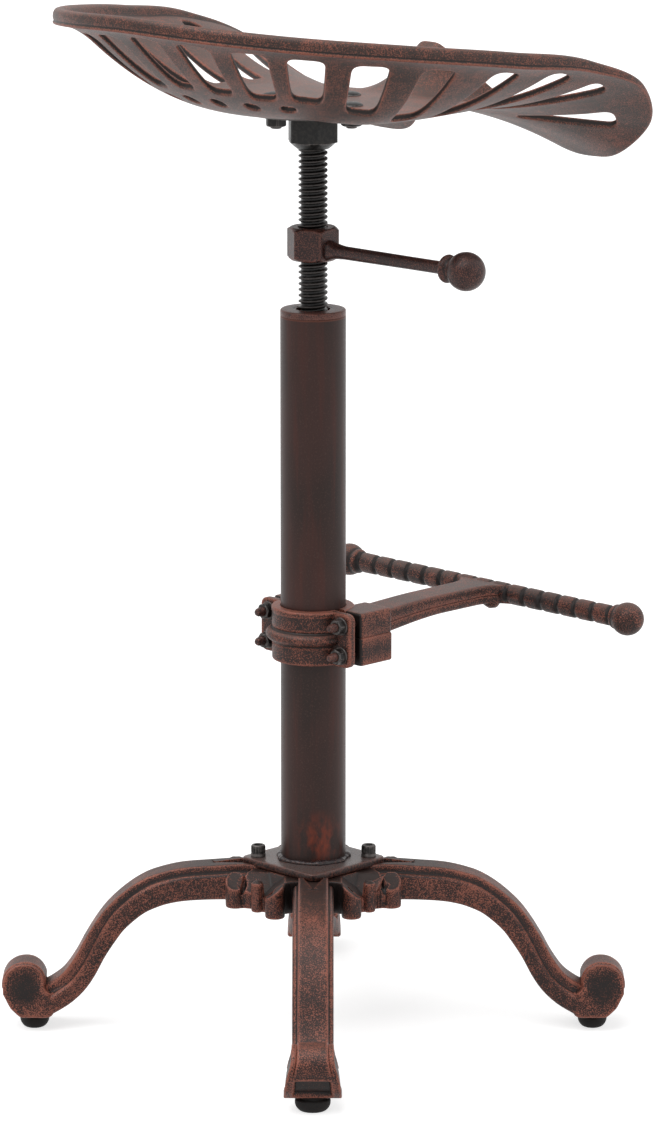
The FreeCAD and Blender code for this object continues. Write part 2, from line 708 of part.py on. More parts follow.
def footrest_shape():
    """The footrest casting: rear half of the clamp, arm, and cross bar with a ball at each end."""
    bottom = size("clamp_bottom")
    height = size("clamp_height")
    half_gap = size("clamp_gap") / 2
    ear = size("ear_reach")
    block = Part.makeBox(size("block_depth"), 2 * ear, height, Vector(half_gap, -ear, bottom))
    far_edges = [edge for edge in block.Edges
                 if abs(edge.tangentAt(edge.FirstParameter).z) > 0.9
                 and edge.CenterOfMass.x > half_gap + size("block_depth") / 2]
    block = block.makeFillet(size("block_corner"), far_edges)
    reach = size("bar_reach")
    half_arm = size("arm_width") / 2
    arm_bottom = size("bar_height") - size("arm_height") / 2
    flare = size("arm_flare")
    plan = [(20, -half_arm), (reach - flare, -half_arm), (reach, -half_arm - flare),
            (reach, half_arm + flare), (reach - flare, half_arm), (20, half_arm)]
    arm = polygon_prism(plan, arm_bottom, size("arm_height"))
    for side in (-1, 1):
        corner = Part.makeCylinder(flare, size("arm_height") + 2,
                                   Vector(reach - flare, side * (half_arm + flare), arm_bottom - 1))
        arm = arm.cut(corner)
    long_edges = [edge for edge in arm.Edges if abs(edge.tangentAt(edge.FirstParameter).x) > 0.99]
    arm = arm.makeFillet(3.5, long_edges)
    ball_side = size("bar_ball_side")
    bar = Part.makeCylinder(size("bar_radius"), 2 * ball_side, Vector(reach, -ball_side, size("bar_height")),
                            Vector(0, 1, 0))
    rings = []
    groove = size("bar_groove_pitch")
    first = half_arm + flare + groove / 2
    count = int((ball_side - size("bar_ball_radius") - first) / groove) + 1
    for side in (-1, 1):
        for step in range(count):
            middle = Vector(reach, side * (first + step * groove), size("bar_height"))
            rings.append(Part.makeTorus(size("bar_radius") + 1, 1 + size("bar_groove_depth"), middle,
                                        Vector(0, 1, 0)))
    bar = bar.cut(rings)
    balls = [Part.makeSphere(size("bar_ball_radius"), Vector(reach, side * ball_side, size("bar_height")))
             for side in (-1, 1)]
    casting = block.multiFuse([arm, bar] + balls)
    bore = Part.makeCylinder(size("clamp_bore"), height + 20, Vector(0, 0, bottom - 10))
    holes = along_arm(size("clamp_bolt_radius") + size("hole_clearance"), -size("clamp_cut_length"),
                      2 * size("clamp_cut_length"))
    return clamp_local(casting.cut([bore] + holes))


def thread_shape():
    """The spindle: a rod with rounded thread ridges all along, from the stop to the boss."""
    outer = size("thread_radius")
    root = outer - size("thread_depth")
    pitch = size("thread_pitch")
    bottom = size("stop_bottom")
    top = size("boss_bottom")
    turns = int((top - bottom) / pitch)
    points = [Vector(0, 0, bottom), Vector(root, 0, bottom)]
    for turn in range(turns):
        start = bottom + turn * pitch
        points += [Vector(root, 0, start + 0.15 * pitch), Vector(outer, 0, start + 0.4 * pitch),
                   Vector(outer, 0, start + 0.6 * pitch), Vector(root, 0, start + 0.85 * pitch)]
    points += [Vector(root, 0, size("spindle_top")), Vector(0, 0, size("spindle_top")), points[0]]
    return Part.Face(Part.makePolygon(points)).revolve(CENTRE, UP, 360)


# Leg casting, pads and their screws
solid_feature("leg_casting", leg_casting())

pad = turned("pad_master", [(None, None), ("pad_floor_radius", None), ("pad_top_radius", "foot_height"),
                            ("pad_top_radius", "pad_top"), ("pad_screw_radius", "pad_top"),
                            ("pad_screw_radius", "pad_recess"), (None, "pad_recess")])
around = [at(size("foot_reach"), 90 * quarter) for quarter in range(4)]
solid_feature("foot_pads", copies(pad.Shape, around))

pad_screw = cylinder("pad_screw_master", "Sizes.pad_screw_radius - Sizes.thread_clearance",
                     "Sizes.pad_screw_length + Sizes.foot_height - Sizes.pad_recess - Sizes.free_gap * 2")
doc.recompute()
lifted = [at(size("foot_reach"), 90 * quarter, size("pad_recess")) for quarter in range(4)]
solid_feature("foot_pad_screws", copies(pad_screw.Shape, lifted))

# Base plate and its two cap screws with washers
plate = doc.addObject("Part::Box", "plate_blank")
plate.setExpression("Length", "Sizes.plate_half_diagonal * sqrt(2)")
plate.setExpression("Width", "Sizes.plate_half_diagonal * sqrt(2)")
plate.setExpression("Height", "Sizes.plate_thickness")
half_plate = size("plate_half_diagonal") / math.sqrt(2)
plate.Placement = FreeCAD.Placement(Vector(0, -half_plate * math.sqrt(2), size("leg_top")), Rotation(UP, 45))
doc.recompute()
rounded = doc.addObject("Part::Fillet", "plate_rounded")
rounded.Base = plate
corner_edges = [number for number, edge in enumerate(plate.Shape.Edges, start=1)
                if abs(edge.tangentAt(edge.FirstParameter).z) > 0.9]
rounded.Edges = [(number, size("plate_corner"), size("plate_corner")) for number in corner_edges]
doc.recompute()
plate_holes = doc.addObject("Part::Compound", "plate_holes")
hole_list = []
for number, angle in enumerate((0, 180)):
    hole = cylinder("plate_hole_%d" % number, "Sizes.screw_radius + Sizes.hole_clearance",
                    "Sizes.plate_thickness * 3")
    hole.Placement = at(size("screw_reach"), angle, size("leg_top") - size("plate_thickness"))
    hole_list.append(hole)
plate_holes.Links = hole_list
keep(boolean("Cut", "base_plate_cut", rounded, plate_holes), "base_plate")

cap_screw = turned("cap_screw_turned", [(None, "screw_tip"), ("screw_radius", "screw_tip"),
                                        ("screw_radius", "screw_shoulder"),
                                        ("screw_head_radius", "screw_shoulder"),
                                        ("screw_head_radius", "screw_top"), (None, "screw_top")])
socket = hexagon("cap_screw_socket", "Sizes.screw_socket_flats", "Sizes.screw_socket_depth * 2")
socket.Placement = FreeCAD.Placement(Vector(0, 0, size("screw_top") - size("screw_socket_depth")), Rotation())
screw_master = boolean("Cut", "cap_screw_master", cap_screw, socket)
sides = [at(size("screw_reach"), angle) for angle in (0, 180)]
solid_feature("base_screws", copies(screw_master.Shape, sides))

washer = doc.addObject("Part::Cut", "screw_washer_master")
washer.Base = cylinder("screw_washer_disc", "Sizes.screw_washer_radius", "Sizes.screw_washer_height")
washer.Tool = cylinder("screw_washer_hole", "Sizes.screw_radius + Sizes.hole_clearance",
                       "Sizes.screw_washer_height")
doc.recompute()
washer_places = [at(size("screw_reach"), angle, size("plate_top")) for angle in (0, 180)]
solid_feature("base_screw_washers", copies(washer.Shape, washer_places))

# Column: tube, weld at its foot, cap and the threaded bush inside
keep(turned("tube_turned", [("tube_bore", "plate_top"), ("tube_radius", "plate_top"),
                            ("tube_radius", "tube_top"), ("tube_bore", "tube_top")]), "column_tube")
keep(turned("weld_turned", [("tube_radius", "plate_top"), ("weld_radius", "plate_top"),
                            ("tube_radius", "weld_top")]), "column_weld")
keep(turned("cap_turned", [("cap_hole_radius", "tube_top"), ("tube_radius", "tube_top"),
                           ("tube_radius", "cap_top"), ("cap_hole_radius", "cap_top")]), "column_cap")
keep(turned("bush_turned", [("nut_bore", "nut_bottom"), ("nut_radius", "nut_bottom"),
                            ("nut_radius", "tube_top"), ("nut_bore", "tube_top")]), "spindle_nut")

# Spindle and the stop on its lower end
solid_feature("threaded_spindle", thread_shape())
stop = doc.addObject("Part::Cut", "stop_cut")
stop.Base = cylinder("stop_disc", "Sizes.stop_radius", "Sizes.stop_height")
stop.Tool = cylinder("stop_hole", "Sizes.nut_bore", "Sizes.stop_height")
stop.Placement = FreeCAD.Placement(Vector(0, 0, size("stop_bottom")), Rotation())
doc.recompute()
keep(stop, "spindle_stop")

# Lock nut with its handle
nut_blank = hexagon("locknut_hexagon", "Sizes.locknut_flats", "Sizes.locknut_height")
nut_bore = cylinder("locknut_bore", "Sizes.nut_bore", "Sizes.locknut_height")
bored = boolean("Cut", "locknut_bored", nut_blank, nut_bore)
barrel_radius = size("locknut_flats") / math.sqrt(3)
chamfer = size("locknut_chamfer")
barrel = Part.makeCylinder(barrel_radius, size("locknut_height"))
barrel = barrel.makeChamfer(chamfer, [edge for edge in barrel.Edges if len(edge.Vertexes) == 1])
barrel_object = doc.addObject("Part::Feature", "locknut_barrel")
barrel_object.Shape = barrel
crowned = boolean("Common", "locknut_crowned", bored, barrel_object)
rod_hole = cylinder("locknut_rod_hole", "Sizes.handle_rod_radius + Sizes.thread_clearance",
                    "Sizes.handle_rod_seat + 2")
rod_height = size("locknut_height") / 2 - size("handle_drop")
rod_root = size("locknut_flats") / 2 - size("handle_rod_seat")
rod_hole.Placement = FreeCAD.Placement(Vector(rod_root * math.cos(math.radians(30)),
                                              rod_root * math.sin(math.radians(30)), rod_height),
                                       Rotation(UP, 30).multiply(Rotation(Vector(0, 1, 0), 90)))
lock_nut = boolean("Cut", "locknut_drilled", crowned, rod_hole)
nut_turn = -30 - (90 - 47)
lock_nut.Placement = FreeCAD.Placement(Vector(0, 0, size("locknut_bottom")), Rotation(UP, nut_turn))
keep(lock_nut, "lock_nut")

handle_angle = nut_turn + 30
handle_height = size("locknut_bottom") + rod_height


def on_handle(reach):
    """A place on the handle's axis, with Z pointing outwards along it."""
    turn = Rotation(UP, handle_angle)
    return FreeCAD.Placement(turn.multVec(Vector(reach, 0, handle_height)),
                             turn.multiply(Rotation(Vector(0, 1, 0), 90)))


rod = cylinder("handle_rod_turned", "Sizes.handle_rod_radius",
               "Sizes.handle_reach - Sizes.handle_ball_radius + 3 - Sizes.locknut_flats / 2"
               " + Sizes.handle_rod_seat")
rod.Placement = on_handle(rod_root)
keep(rod, "handle_rod")
collar = doc.addObject("Part::Cut", "collar_cut")
collar.Base = cylinder("collar_disc", "Sizes.handle_collar_radius", "Sizes.handle_collar_length")
collar.Tool = cylinder("collar_hole", "Sizes.handle_rod_radius", "Sizes.handle_collar_length")
collar.Placement = on_handle(size("collar_start"))
keep(collar, "handle_collar")
ball = doc.addObject("Part::Sphere", "handle_ball_turned")
ball.setExpression("Radius", "Sizes.handle_ball_radius")
ball.Placement = on_handle(size("handle_reach"))
keep(boolean("Cut", "handle_ball_drilled", ball, rod), "handle_ball")

# Boss on top of the spindle, flange, bolts and nuts
boss_cone = turned("boss_cone", [(None, "boss_bottom"), ("nut_bore", "boss_bottom"),
                                 ("boss_across", "boss_hex_bottom"), (None, "boss_hex_bottom")])
boss_hex = hexagon("boss_hexagon", "Sizes.boss_flats", "Sizes.boss_height")
boss_hex.Placement = FreeCAD.Placement(Vector(0, 0, size("boss_hex_bottom")),
                                       Rotation(UP, size("boss_turn")))
boss_body = boolean("Fuse", "boss_body", boss_cone, boss_hex)
boss_bore = cylinder("boss_bore", "Sizes.nut_bore - Sizes.thread_depth",
                     "Sizes.spindle_in_boss + Sizes.free_gap")
boss_bore.Placement = FreeCAD.Placement(Vector(0, 0, size("boss_bottom")), Rotation())
keep(boolean("Cut", "boss_bored", boss_body, boss_bore), "seat_boss")

bolt_places = [at(size("seat_bolt_circle"), 90 * quarter + size("seat_turn")) for quarter in range(4)]
flange_disc = cylinder("flange_disc", "Sizes.flange_radius", "Sizes.flange_thickness")
flange_disc.Placement = FreeCAD.Placement(Vector(0, 0, size("boss_top")), Rotation())
flange_holes = doc.addObject("Part::Compound", "flange_holes")
flange_list = []
for number, place in enumerate(bolt_places):
    hole = cylinder("flange_hole_%d" % number, "Sizes.seat_bolt_radius + Sizes.hole_clearance",
                    "Sizes.flange_thickness + 2")
    hole.Placement = FreeCAD.Placement(place.Base + Vector(0, 0, size("boss_top") - 1), place.Rotation)
    flange_list.append(hole)
flange_holes.Links = flange_list
keep(boolean("Cut", "flange_cut", flange_disc, flange_holes), "seat_flange")

pan = solid_feature("seat_pan", seat_pan(), FreeCAD.Placement(CENTRE, Rotation(UP, size("seat_turn"))))

head_edge = size("seat_bolt_circle") + size("seat_bolt_head_radius")
seat_at_bolt = size("seat_wall") + max(pan_height(head_edge, 0), pan_height(0, head_edge),
                                       pan_height(-head_edge, 0))
shank_bottom = size("boss_top") - size("seat_nut_height") - size("seat_bolt_tail")
shank = Part.makeCylinder(size("seat_bolt_radius"), seat_at_bolt - shank_bottom + 1,
                          Vector(0, 0, shank_bottom))
head = Part.makeSphere(size("seat_bolt_head_radius"), Vector(0, 0, 0))
dome_scale = FreeCAD.Matrix()
dome_scale.scale(1, 1, size("seat_bolt_head_height") / size("seat_bolt_head_radius"))
head = head.transformGeometry(dome_scale)
head = head.common(Part.makeBox(40, 40, 20, Vector(-20, -20, 0)))
head.translate(Vector(0, 0, seat_at_bolt + size("free_gap") / 3))
solid_feature("seat_bolts", copies(shank.fuse(head), bolt_places))

seat_nut = doc.addObject("Part::Cut", "seat_nut_master")
seat_nut.Base = hexagon("seat_nut_hexagon", "Sizes.seat_nut_flats", "Sizes.seat_nut_height")
seat_nut.Tool = cylinder("seat_nut_bore", "Sizes.seat_bolt_radius + Sizes.thread_clearance",
                         "Sizes.seat_nut_height")
doc.recompute()
nut_shift = FreeCAD.Placement(Vector(0, 0, size("boss_top") - size("seat_nut_height")), Rotation())
solid_feature("seat_nuts", copies(seat_nut.Shape, [place.multiply(nut_shift) for place in bolt_places]))

# Footrest: clamp halves, bolts, washers and nuts
solid_feature("clamp_front", clamp_front_shape())
solid_feature("footrest_casting", footrest_shape())
front_face = -size("clamp_gap") / 2 - size("ear_thickness")
back_face = size("clamp_gap") / 2 + size("block_depth")
front_washers = along_arm(size("clamp_washer_radius"), front_face - size("clamp_washer_height"),
                          size("clamp_washer_height"))
washer_holes = along_arm(size("clamp_bolt_radius") + size("hole_clearance"), -size("clamp_cut_length"),
                         size("clamp_cut_length"))
washer_set = Part.makeCompound([disc.cut(hole) for disc, hole in zip(front_washers, washer_holes)])
solid_feature("clamp_washers", clamp_local(washer_set))
nut_start = front_face - size("clamp_washer_height") - size("clamp_nut_height")
nuts = []
bolts = []
for side, height in clamp_bolt_places():
    outline = []
    for corner in range(7):
        angle = math.radians(60 * corner + 15)
        radius = size("clamp_nut_flats") / math.sqrt(3)
        outline.append(Vector(nut_start, side + radius * math.cos(angle), height + radius * math.sin(angle)))
    hexagon_nut = Part.Face(Part.makePolygon(outline)).extrude(Vector(size("clamp_nut_height"), 0, 0))
    bore = Part.makeCylinder(size("clamp_bolt_radius") + size("thread_clearance"), 40,
                             Vector(nut_start - 20, side, height), Vector(1, 0, 0))
    nuts.append(hexagon_nut.cut(bore))
    bolt_start = nut_start - size("clamp_bolt_tail")
    stud = Part.makeCylinder(size("clamp_bolt_radius"), back_face - bolt_start,
                             Vector(bolt_start, side, height), Vector(1, 0, 0))
    bolt_head = Part.makeCylinder(size("clamp_washer_radius"), size("clamp_nut_height"),
                                  Vector(back_face, side, height), Vector(1, 0, 0))
    bolts.append(stud.fuse(bolt_head))
solid_feature("clamp_nuts", clamp_local(Part.makeCompound(nuts)))
solid_feature("clamp_bolts", clamp_local(Part.makeCompound(bolts)))

# Check every object and write one STEP file per node
doc.recompute()
failed = [obj.Name for obj in doc.Objects if "Invalid" in obj.State or "Error" in obj.State]
if failed:
    raise RuntimeError("objects not computed: %s" % ", ".join(failed))
os.makedirs("parts", exist_ok=True)
for node in NODES:
    shape = node.Shape
    if shape.isNull() or not shape.isValid() or not shape.Solids:
        raise RuntimeError("bad shape: " + node.Label)
for node in NODES:
    shape = node.Shape
    shape.exportStep("parts/%s.step" % node.Label)
    box = shape.BoundBox
    print("%-20s solids %d  volume %9.0f  z %.1f to %.1f" % (node.Label, len(shape.Solids), shape.Volume,
                                                           box.ZMin, box.ZMax))
print("nodes", len(NODES))
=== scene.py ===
import math

import bpy
import numpy as np
from bpy.props import FloatProperty, FloatVectorProperty, PointerProperty
from bpy.types import Operator, Panel, PropertyGroup
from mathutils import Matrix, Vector


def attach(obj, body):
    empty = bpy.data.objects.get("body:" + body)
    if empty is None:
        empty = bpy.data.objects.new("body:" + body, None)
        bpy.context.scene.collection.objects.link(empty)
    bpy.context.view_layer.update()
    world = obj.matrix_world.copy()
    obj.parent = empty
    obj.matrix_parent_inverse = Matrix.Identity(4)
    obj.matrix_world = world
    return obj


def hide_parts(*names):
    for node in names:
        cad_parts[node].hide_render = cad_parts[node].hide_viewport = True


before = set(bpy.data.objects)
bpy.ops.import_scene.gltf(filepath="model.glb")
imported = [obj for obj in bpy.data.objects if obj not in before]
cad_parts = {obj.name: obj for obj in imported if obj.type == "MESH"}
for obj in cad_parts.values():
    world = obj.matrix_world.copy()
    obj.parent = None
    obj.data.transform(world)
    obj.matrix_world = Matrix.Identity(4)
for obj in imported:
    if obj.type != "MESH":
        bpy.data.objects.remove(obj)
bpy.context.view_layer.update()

bl_info = {
    "name": "Tractor seat stool",
    "version": (1, 0, 0),
    "blender": (4, 5, 0),
    "location": "View3D > Sidebar > Stool",
    "description": "Cast tractor seat stool on a screw spindle: looks built around its packed frame",
    "category": "Object",
}

MM = 0.001
TURN = 2 * math.pi

# Heights and radii that several pieces share, in millimetres
HUB_LOW = 93.5
PLATE_LOW, PLATE_TOP = 117.5, 122.5
TUBE_RADIUS, TUBE_BORE, TUBE_TOP = 22.5, 20.5, 505.0
CAP_TOP = 509.5
FLANGE_LOW = 645.0

# Seat, in millimetres and degrees: the seat looks along +X in its own plan and is turned on the spindle
SEAT_TURN = 46.5
FLANGE_TOP = 648.0
SEAT_WALL = 5.0
SEAT_RECESS = 0.6
RIM_HEIGHT = 11.0
RIM_INSET, LOBE_INSET = 12.0, 3.4
SEAT_PITCH = 2.4
SEAT_FLARE = 0.27
# Rim from the front centre to the back centre: angle from straight ahead, reach, height above the flange
RIM = np.array([
    (0, 118.0, 35.0), (5, 119.5, 33.0), (9, 126.0, 24.0), (13, 140.0, 10.0), (20, 182.0, -29.0),
    (30, 206.0, -39.0), (38, 216.0, -30.5), (46, 229.0, -8.0), (56, 225.5, 22.0), (70, 204.0, 43.0),
    (90, 185.0, 54.0), (115, 175.0, 63.0), (140, 176.0, 70.0), (160, 179.5, 75.0), (180, 181.0, 78.0)])
# Slots from the back centre round to the lobes: angle from the back and reach of the inner end,
# the same of the outer end, then both widths
SLOTS = [
    (0.0, 120.0, 0.0, 164.5, 17.0, 25.0), (13.8, 118.0, 14.0, 163.0, 17.0, 25.0),
    (27.6, 114.0, 28.0, 160.0, 18.0, 25.0), (41.8, 114.0, 42.0, 157.0, 20.0, 26.0),
    (60.0, 109.0, 58.0, 156.0, 20.0, 26.0), (79.0, 100.0, 75.5, 160.0, 18.0, 25.0),
    (97.0, 100.0, 94.0, 170.0, 16.0, 22.0), (114.0, 104.0, 108.5, 185.5, 12.0, 20.0),
    (127.0, 118.0, 119.5, 200.0, 8.0, 20.0), (140.0, 140.0, 133.5, 205.0, 5.0, 22.0)]
# Ovals on each side of the back centre: how many, the first one's reach, how much nearer each next one is,
# and the angle from one to the next
OVALS = 3
OVAL_REACH, OVAL_STEP_IN = 104.0, 1.5
OVAL_SPACING = 13.8

# Legs: rib top line and lower line of one leg in its own side view, reach from the column and height,
# and how far the shoulder lies below the rib
LEG_TOP = np.array([(24, 117.4), (40, 118.6), (51, 119.3), (72, 118), (92, 116.3), (108, 112.5), (119, 108),
                    (131, 100), (143, 89), (151.5, 78), (159.5, 65), (166, 53), (174, 41.5), (182, 35),
                    (190, 30.5)])
LEG_LOW = np.array([(24, 94.4), (40, 94.4), (51, 94.4), (71, 94.3), (88, 93.4), (99, 91.7), (108, 89.0),
                    (118.5, 83.9), (130.4, 73.8), (137.4, 64.8), (145.2, 52.8), (152.5, 39), (160, 28.2),
                    (170.2, 18.9), (184, 11.5)])
LEG_DROP = np.array([5.6, 5.6, 5.6, 5.6, 5.6, 5.6, 5.6, 5.7, 6.0, 6.6, 7.4, 7.8, 7.6, 7.0, 6.4])
# Foot in the same side view, from the heel over the scroll to the toe
FOOT_LINE = np.array([(186, 10.8), (182, 12.2), (181, 17), (181, 26.4), (183.6, 27.4), (186.2, 29.4),
                      (187.8, 32.2), (187.8, 37.4), (190.6, 43.0), (195.6, 46.6), (201.5, 47.6), (207.6, 46.4),
                      (212.8, 42.6), (215.8, 37.4), (216.6, 32), (216.1, 27.2), (213.9, 22.4), (211.3, 17.6),
                      (208.2, 14.4), (204.6, 11.4), (201, 10.8), (194, 10.8)])
FOOT_CENTRE = np.array([201.5, 28.0])
# Half width of the leg, and of the foot at a height
LEG_HALF = 14.0
FOOT_WIDTH = np.array([(10.8, 19.5), (17.9, 18.95), (24.7, 18.1), (31.1, 16.75), (36.5, 15.1), (41.4, 14.3),
                       (47.5, 14.0)])


def channels(code):
    """Red, green and blue of a hex sRGB value, 0 to 1."""
    return tuple(int(code[i:i + 2], 16) / 255 for i in (1, 3, 5))


def linear(code):
    """Linear colour of a hex sRGB value: the standard curve, channel by channel."""
    return tuple(c / 12.92 if c <= 0.04045 else ((c + 0.055) / 1.055) ** 2.4 for c in channels(code))


def ramp_between(value, low, high):
    """0 below low, 1 above high, and the smooth cubic 3t^2 - 2t^3 between."""
    part = np.clip((value - low) / (high - low), 0, 1)
    return part * part * (3 - 2 * part)


def curve_through(points, count, closed=False):
    """Points of the Catmull-Rom cubic through given points, evenly spread over the stations."""
    points = np.asarray(points, float)
    number = len(points)
    if closed:
        padded = np.concatenate([points[-1:], points, points[:2]])
        t = np.linspace(0, number, count, endpoint=False)
    else:
        padded = np.concatenate([2 * points[:1] - points[1:2], points, 2 * points[-1:] - points[-2:-1]])
        t = np.linspace(0, number - 1, count)
    index = np.minimum(t.astype(int), (number if closed else number - 1) - 1)
    t = (t - index)[:, None]
    a, b, c, d = (padded[index + k] for k in range(4))
    return 0.5 * (2 * b + (c - a) * t + (2 * a - 5 * b + 4 * c - d) * t ** 2
                  + (3 * b - a - 3 * c + d) * t ** 3)


def softened(corners, radii, steps=4):
    """A polyline with each corner replaced by a quadratic Bezier arc that starts a radius from the corner."""
    corners = np.asarray(corners, float)
    out = []
    for i, (corner, radius) in enumerate(zip(corners, radii)):
        if radius <= 0 or i in (0, len(corners) - 1):
            out.append(corner[None])
            continue
        back = corners[i - 1] - corner
        ahead = corners[i + 1] - corner
        back *= min(radius, 0.5 * np.linalg.norm(back)) / np.linalg.norm(back)
        ahead *= min(radius, 0.5 * np.linalg.norm(ahead)) / np.linalg.norm(ahead)
        t = np.linspace(0, 1, steps + 1)[:, None]
        out.append(corner + (1 - t) ** 2 * back + t ** 2 * ahead)
    return np.concatenate(out)


def turn_about_z(points, degrees):
    """Points turned about the column's axis."""
    c, s = math.cos(math.radians(degrees)), math.sin(math.radians(degrees))
    return points @ np.array([[c, s, 0], [-s, c, 0], [0, 0, 1]])


def grid_faces(rows, columns, wrap_rows=False, wrap_columns=True):
    """Quads of a grid of points numbered row by row, closed round its columns or rows."""
    r = np.arange(rows if wrap_rows else rows - 1)[:, None]
    c = np.arange(columns if wrap_columns else columns - 1)[None]
    r2, c2 = (r + 1) % rows, (c + 1) % columns
    r, r2 = r * columns, r2 * columns
    return np.stack([r + c, r + c2, r2 + c2, r2 + c], -1).reshape(-1, 4)


def surface(rings, closed_rows=False):
    """A closed shell from a grid (row, column, xyz): columns run round, and the first and last rows are
    closed by a fan to their middle, or joined to each other."""
    rings = np.asarray(rings, float)
    rows, columns = rings.shape[:2]
    points = rings.reshape(-1, 3)
    faces = [grid_faces(rows, columns, wrap_rows=closed_rows)]
    if not closed_rows:
        middles = np.array([rings[0].mean(0), rings[-1].mean(0)])
        points = np.concatenate([points, middles])
        c = np.arange(columns)
        c2 = (c + 1) % columns
        first = rows * columns
        last = (rows - 1) * columns
        faces.append(np.stack([np.full(columns, first), c2, c], -1))
        faces.append(np.stack([np.full(columns, first + 1), last + c, last + c2], -1))
    return points, faces


def frame_of(axis):
    """An axis as a unit vector, and two directions square to it and to each other."""
    axis = np.asarray(axis, float) / np.linalg.norm(axis)
    side = np.cross(axis, [0, 0, 1.0] if abs(axis[2]) < 0.9 else [1.0, 0, 0])
    side /= np.linalg.norm(side)
    return axis, side, np.cross(axis, side)


def lathe(profile, start=(0, 0, 0), axis=(0, 0, 1), steps=64, hollow=False, shape=None):
    """A turned shell: start + height times the axis + radius times (cos, sin) of the angle, for each radius and
    height of the profile. shape(angle, height, radius) may give another radius at each angle, and hollow
    joins the profile's last point to its first."""
    profile = np.asarray(profile, float)
    axis, side, other = frame_of(axis)
    angle = np.arange(steps) * TURN / steps
    radius = np.repeat(profile[:, :1], steps, 1)
    height = np.repeat(profile[:, 1:2], steps, 1)
    if shape is not None:
        radius = shape(angle[None], height, radius)
    around = np.cos(angle)[None, :, None] * side + np.sin(angle)[None, :, None] * other
    rings = np.asarray(start, float) + height[..., None] * axis + radius[..., None] * around
    return surface(rings, closed_rows=hollow)


def hexagon(flats, turn=0.0, rounding=0.35, chamfer=None):
    """Shape function of a hexagon prism: apothem over the cosine of the angle to the nearest face, its
    corners eased, and cut by a cone near both ends where chamfer gives (bottom, top, depth). The cone draws
    in 1.6 mm for each millimetre towards the end."""
    apothem = flats / 2
    cone = 1.6
    corner = apothem / math.cos(math.pi / 6)

    def shape(angle, height, radius):
        """Radius of the eased and chamfered hexagon, and the given radius where that is smaller."""
        part = (angle - math.radians(turn) + math.pi / 6) % (math.pi / 3) - math.pi / 6
        out = np.minimum(apothem / np.cos(part), corner - rounding)
        out = np.broadcast_to(out, radius.shape).copy()
        if chamfer:
            bottom, top, depth = chamfer
            from_end = np.minimum(height - bottom, top - height)
            out = np.minimum(out, corner - rounding - np.maximum(depth - from_end, 0) * cone)
        return np.where(radius < apothem * 0.9, radius, np.minimum(out, radius))

    return shape


def nut(flats, bottom, top, bore, place, axis, turn=0.0, chamfer=0.8, steps=72):
    """A hexagon nut along an axis from its place: hollow shell from the bore over both chamfered ends."""
    reach = flats / math.sqrt(3) + 1
    rows = [(bore, bottom + 0.5), (bore + 0.5, bottom), (flats * 0.42, bottom), (reach, bottom + 0.001),
            (reach, bottom + chamfer * 0.5), (reach, bottom + chamfer), (reach, bottom + chamfer * 1.6)]
    middle = np.linspace(bottom + chamfer * 2.2, top - chamfer * 2.2, 4)
    rows += [(reach, height) for height in middle]
    rows += [(radius, bottom + top - height) for radius, height in rows[6::-1]]
    return lathe(rows, place, axis, steps, hollow=True,
                 shape=hexagon(flats, turn, chamfer=(bottom, top, chamfer)))


def volume(points, faces):
    """Six times the signed volume: the sum of triple products over the fan triangles of all faces."""
    total = 0.0
    for block in faces:
        for k in range(1, block.shape[1] - 1):
            a, b, c = points[block[:, 0]], points[block[:, k]], points[block[:, k + 1]]
            total += np.einsum("ij,ij->", a, np.cross(b, c))
    return total


def wear_and_shade_of(points, faces, spread):
    """How worn each point is, with painted shade below zero: 1 on sharp outer edges, -0.8 of painted shade in sharp
    inner corners, from the largest and the least normal curvature 2 n.(p - q) / |p - q|^2 over its edges, fading
    over the spread in five passes.
    Edges shorter than 0.12 mm say nothing on curvature and are left out."""
    shortest, passes = 0.12, 5
    corners = [block[:, k] for block in faces for k in range(block.shape[1])]
    following = [block[:, (k + 1) % block.shape[1]] for block in faces for k in range(block.shape[1])]
    preceding = [block[:, k - 1] for block in faces for k in range(block.shape[1])]
    a, b, before = (np.concatenate(part) for part in (corners, following, preceding))
    normal = np.zeros_like(points)
    np.add.at(normal, a, np.cross(points[b] - points[a], points[before] - points[a]))
    normal /= np.maximum(np.linalg.norm(normal, axis=1, keepdims=True), 1e-9)
    start, end = np.concatenate([a, b]), np.concatenate([b, a])
    step = points[start] - points[end]
    length = np.maximum(np.linalg.norm(step, axis=1), 1e-4)
    bend = 2 * np.einsum("ij,ij->i", normal[start], step) / length ** 2
    sharp = np.zeros(len(points))
    hollow = np.zeros(len(points))
    np.maximum.at(sharp, start, np.where(length > shortest, bend, 0))
    np.maximum.at(hollow, start, np.where(length > shortest, -bend, 0))
    sharp = ramp_between(sharp, 0.15, 0.8)
    hollow = ramp_between(hollow, 0.15, 0.6)
    for _ in range(passes):
        for field in (sharp, hollow):
            np.maximum.at(field, start, field[end] - length / spread)
    return sharp - 0.8 * hollow * (1 - sharp)


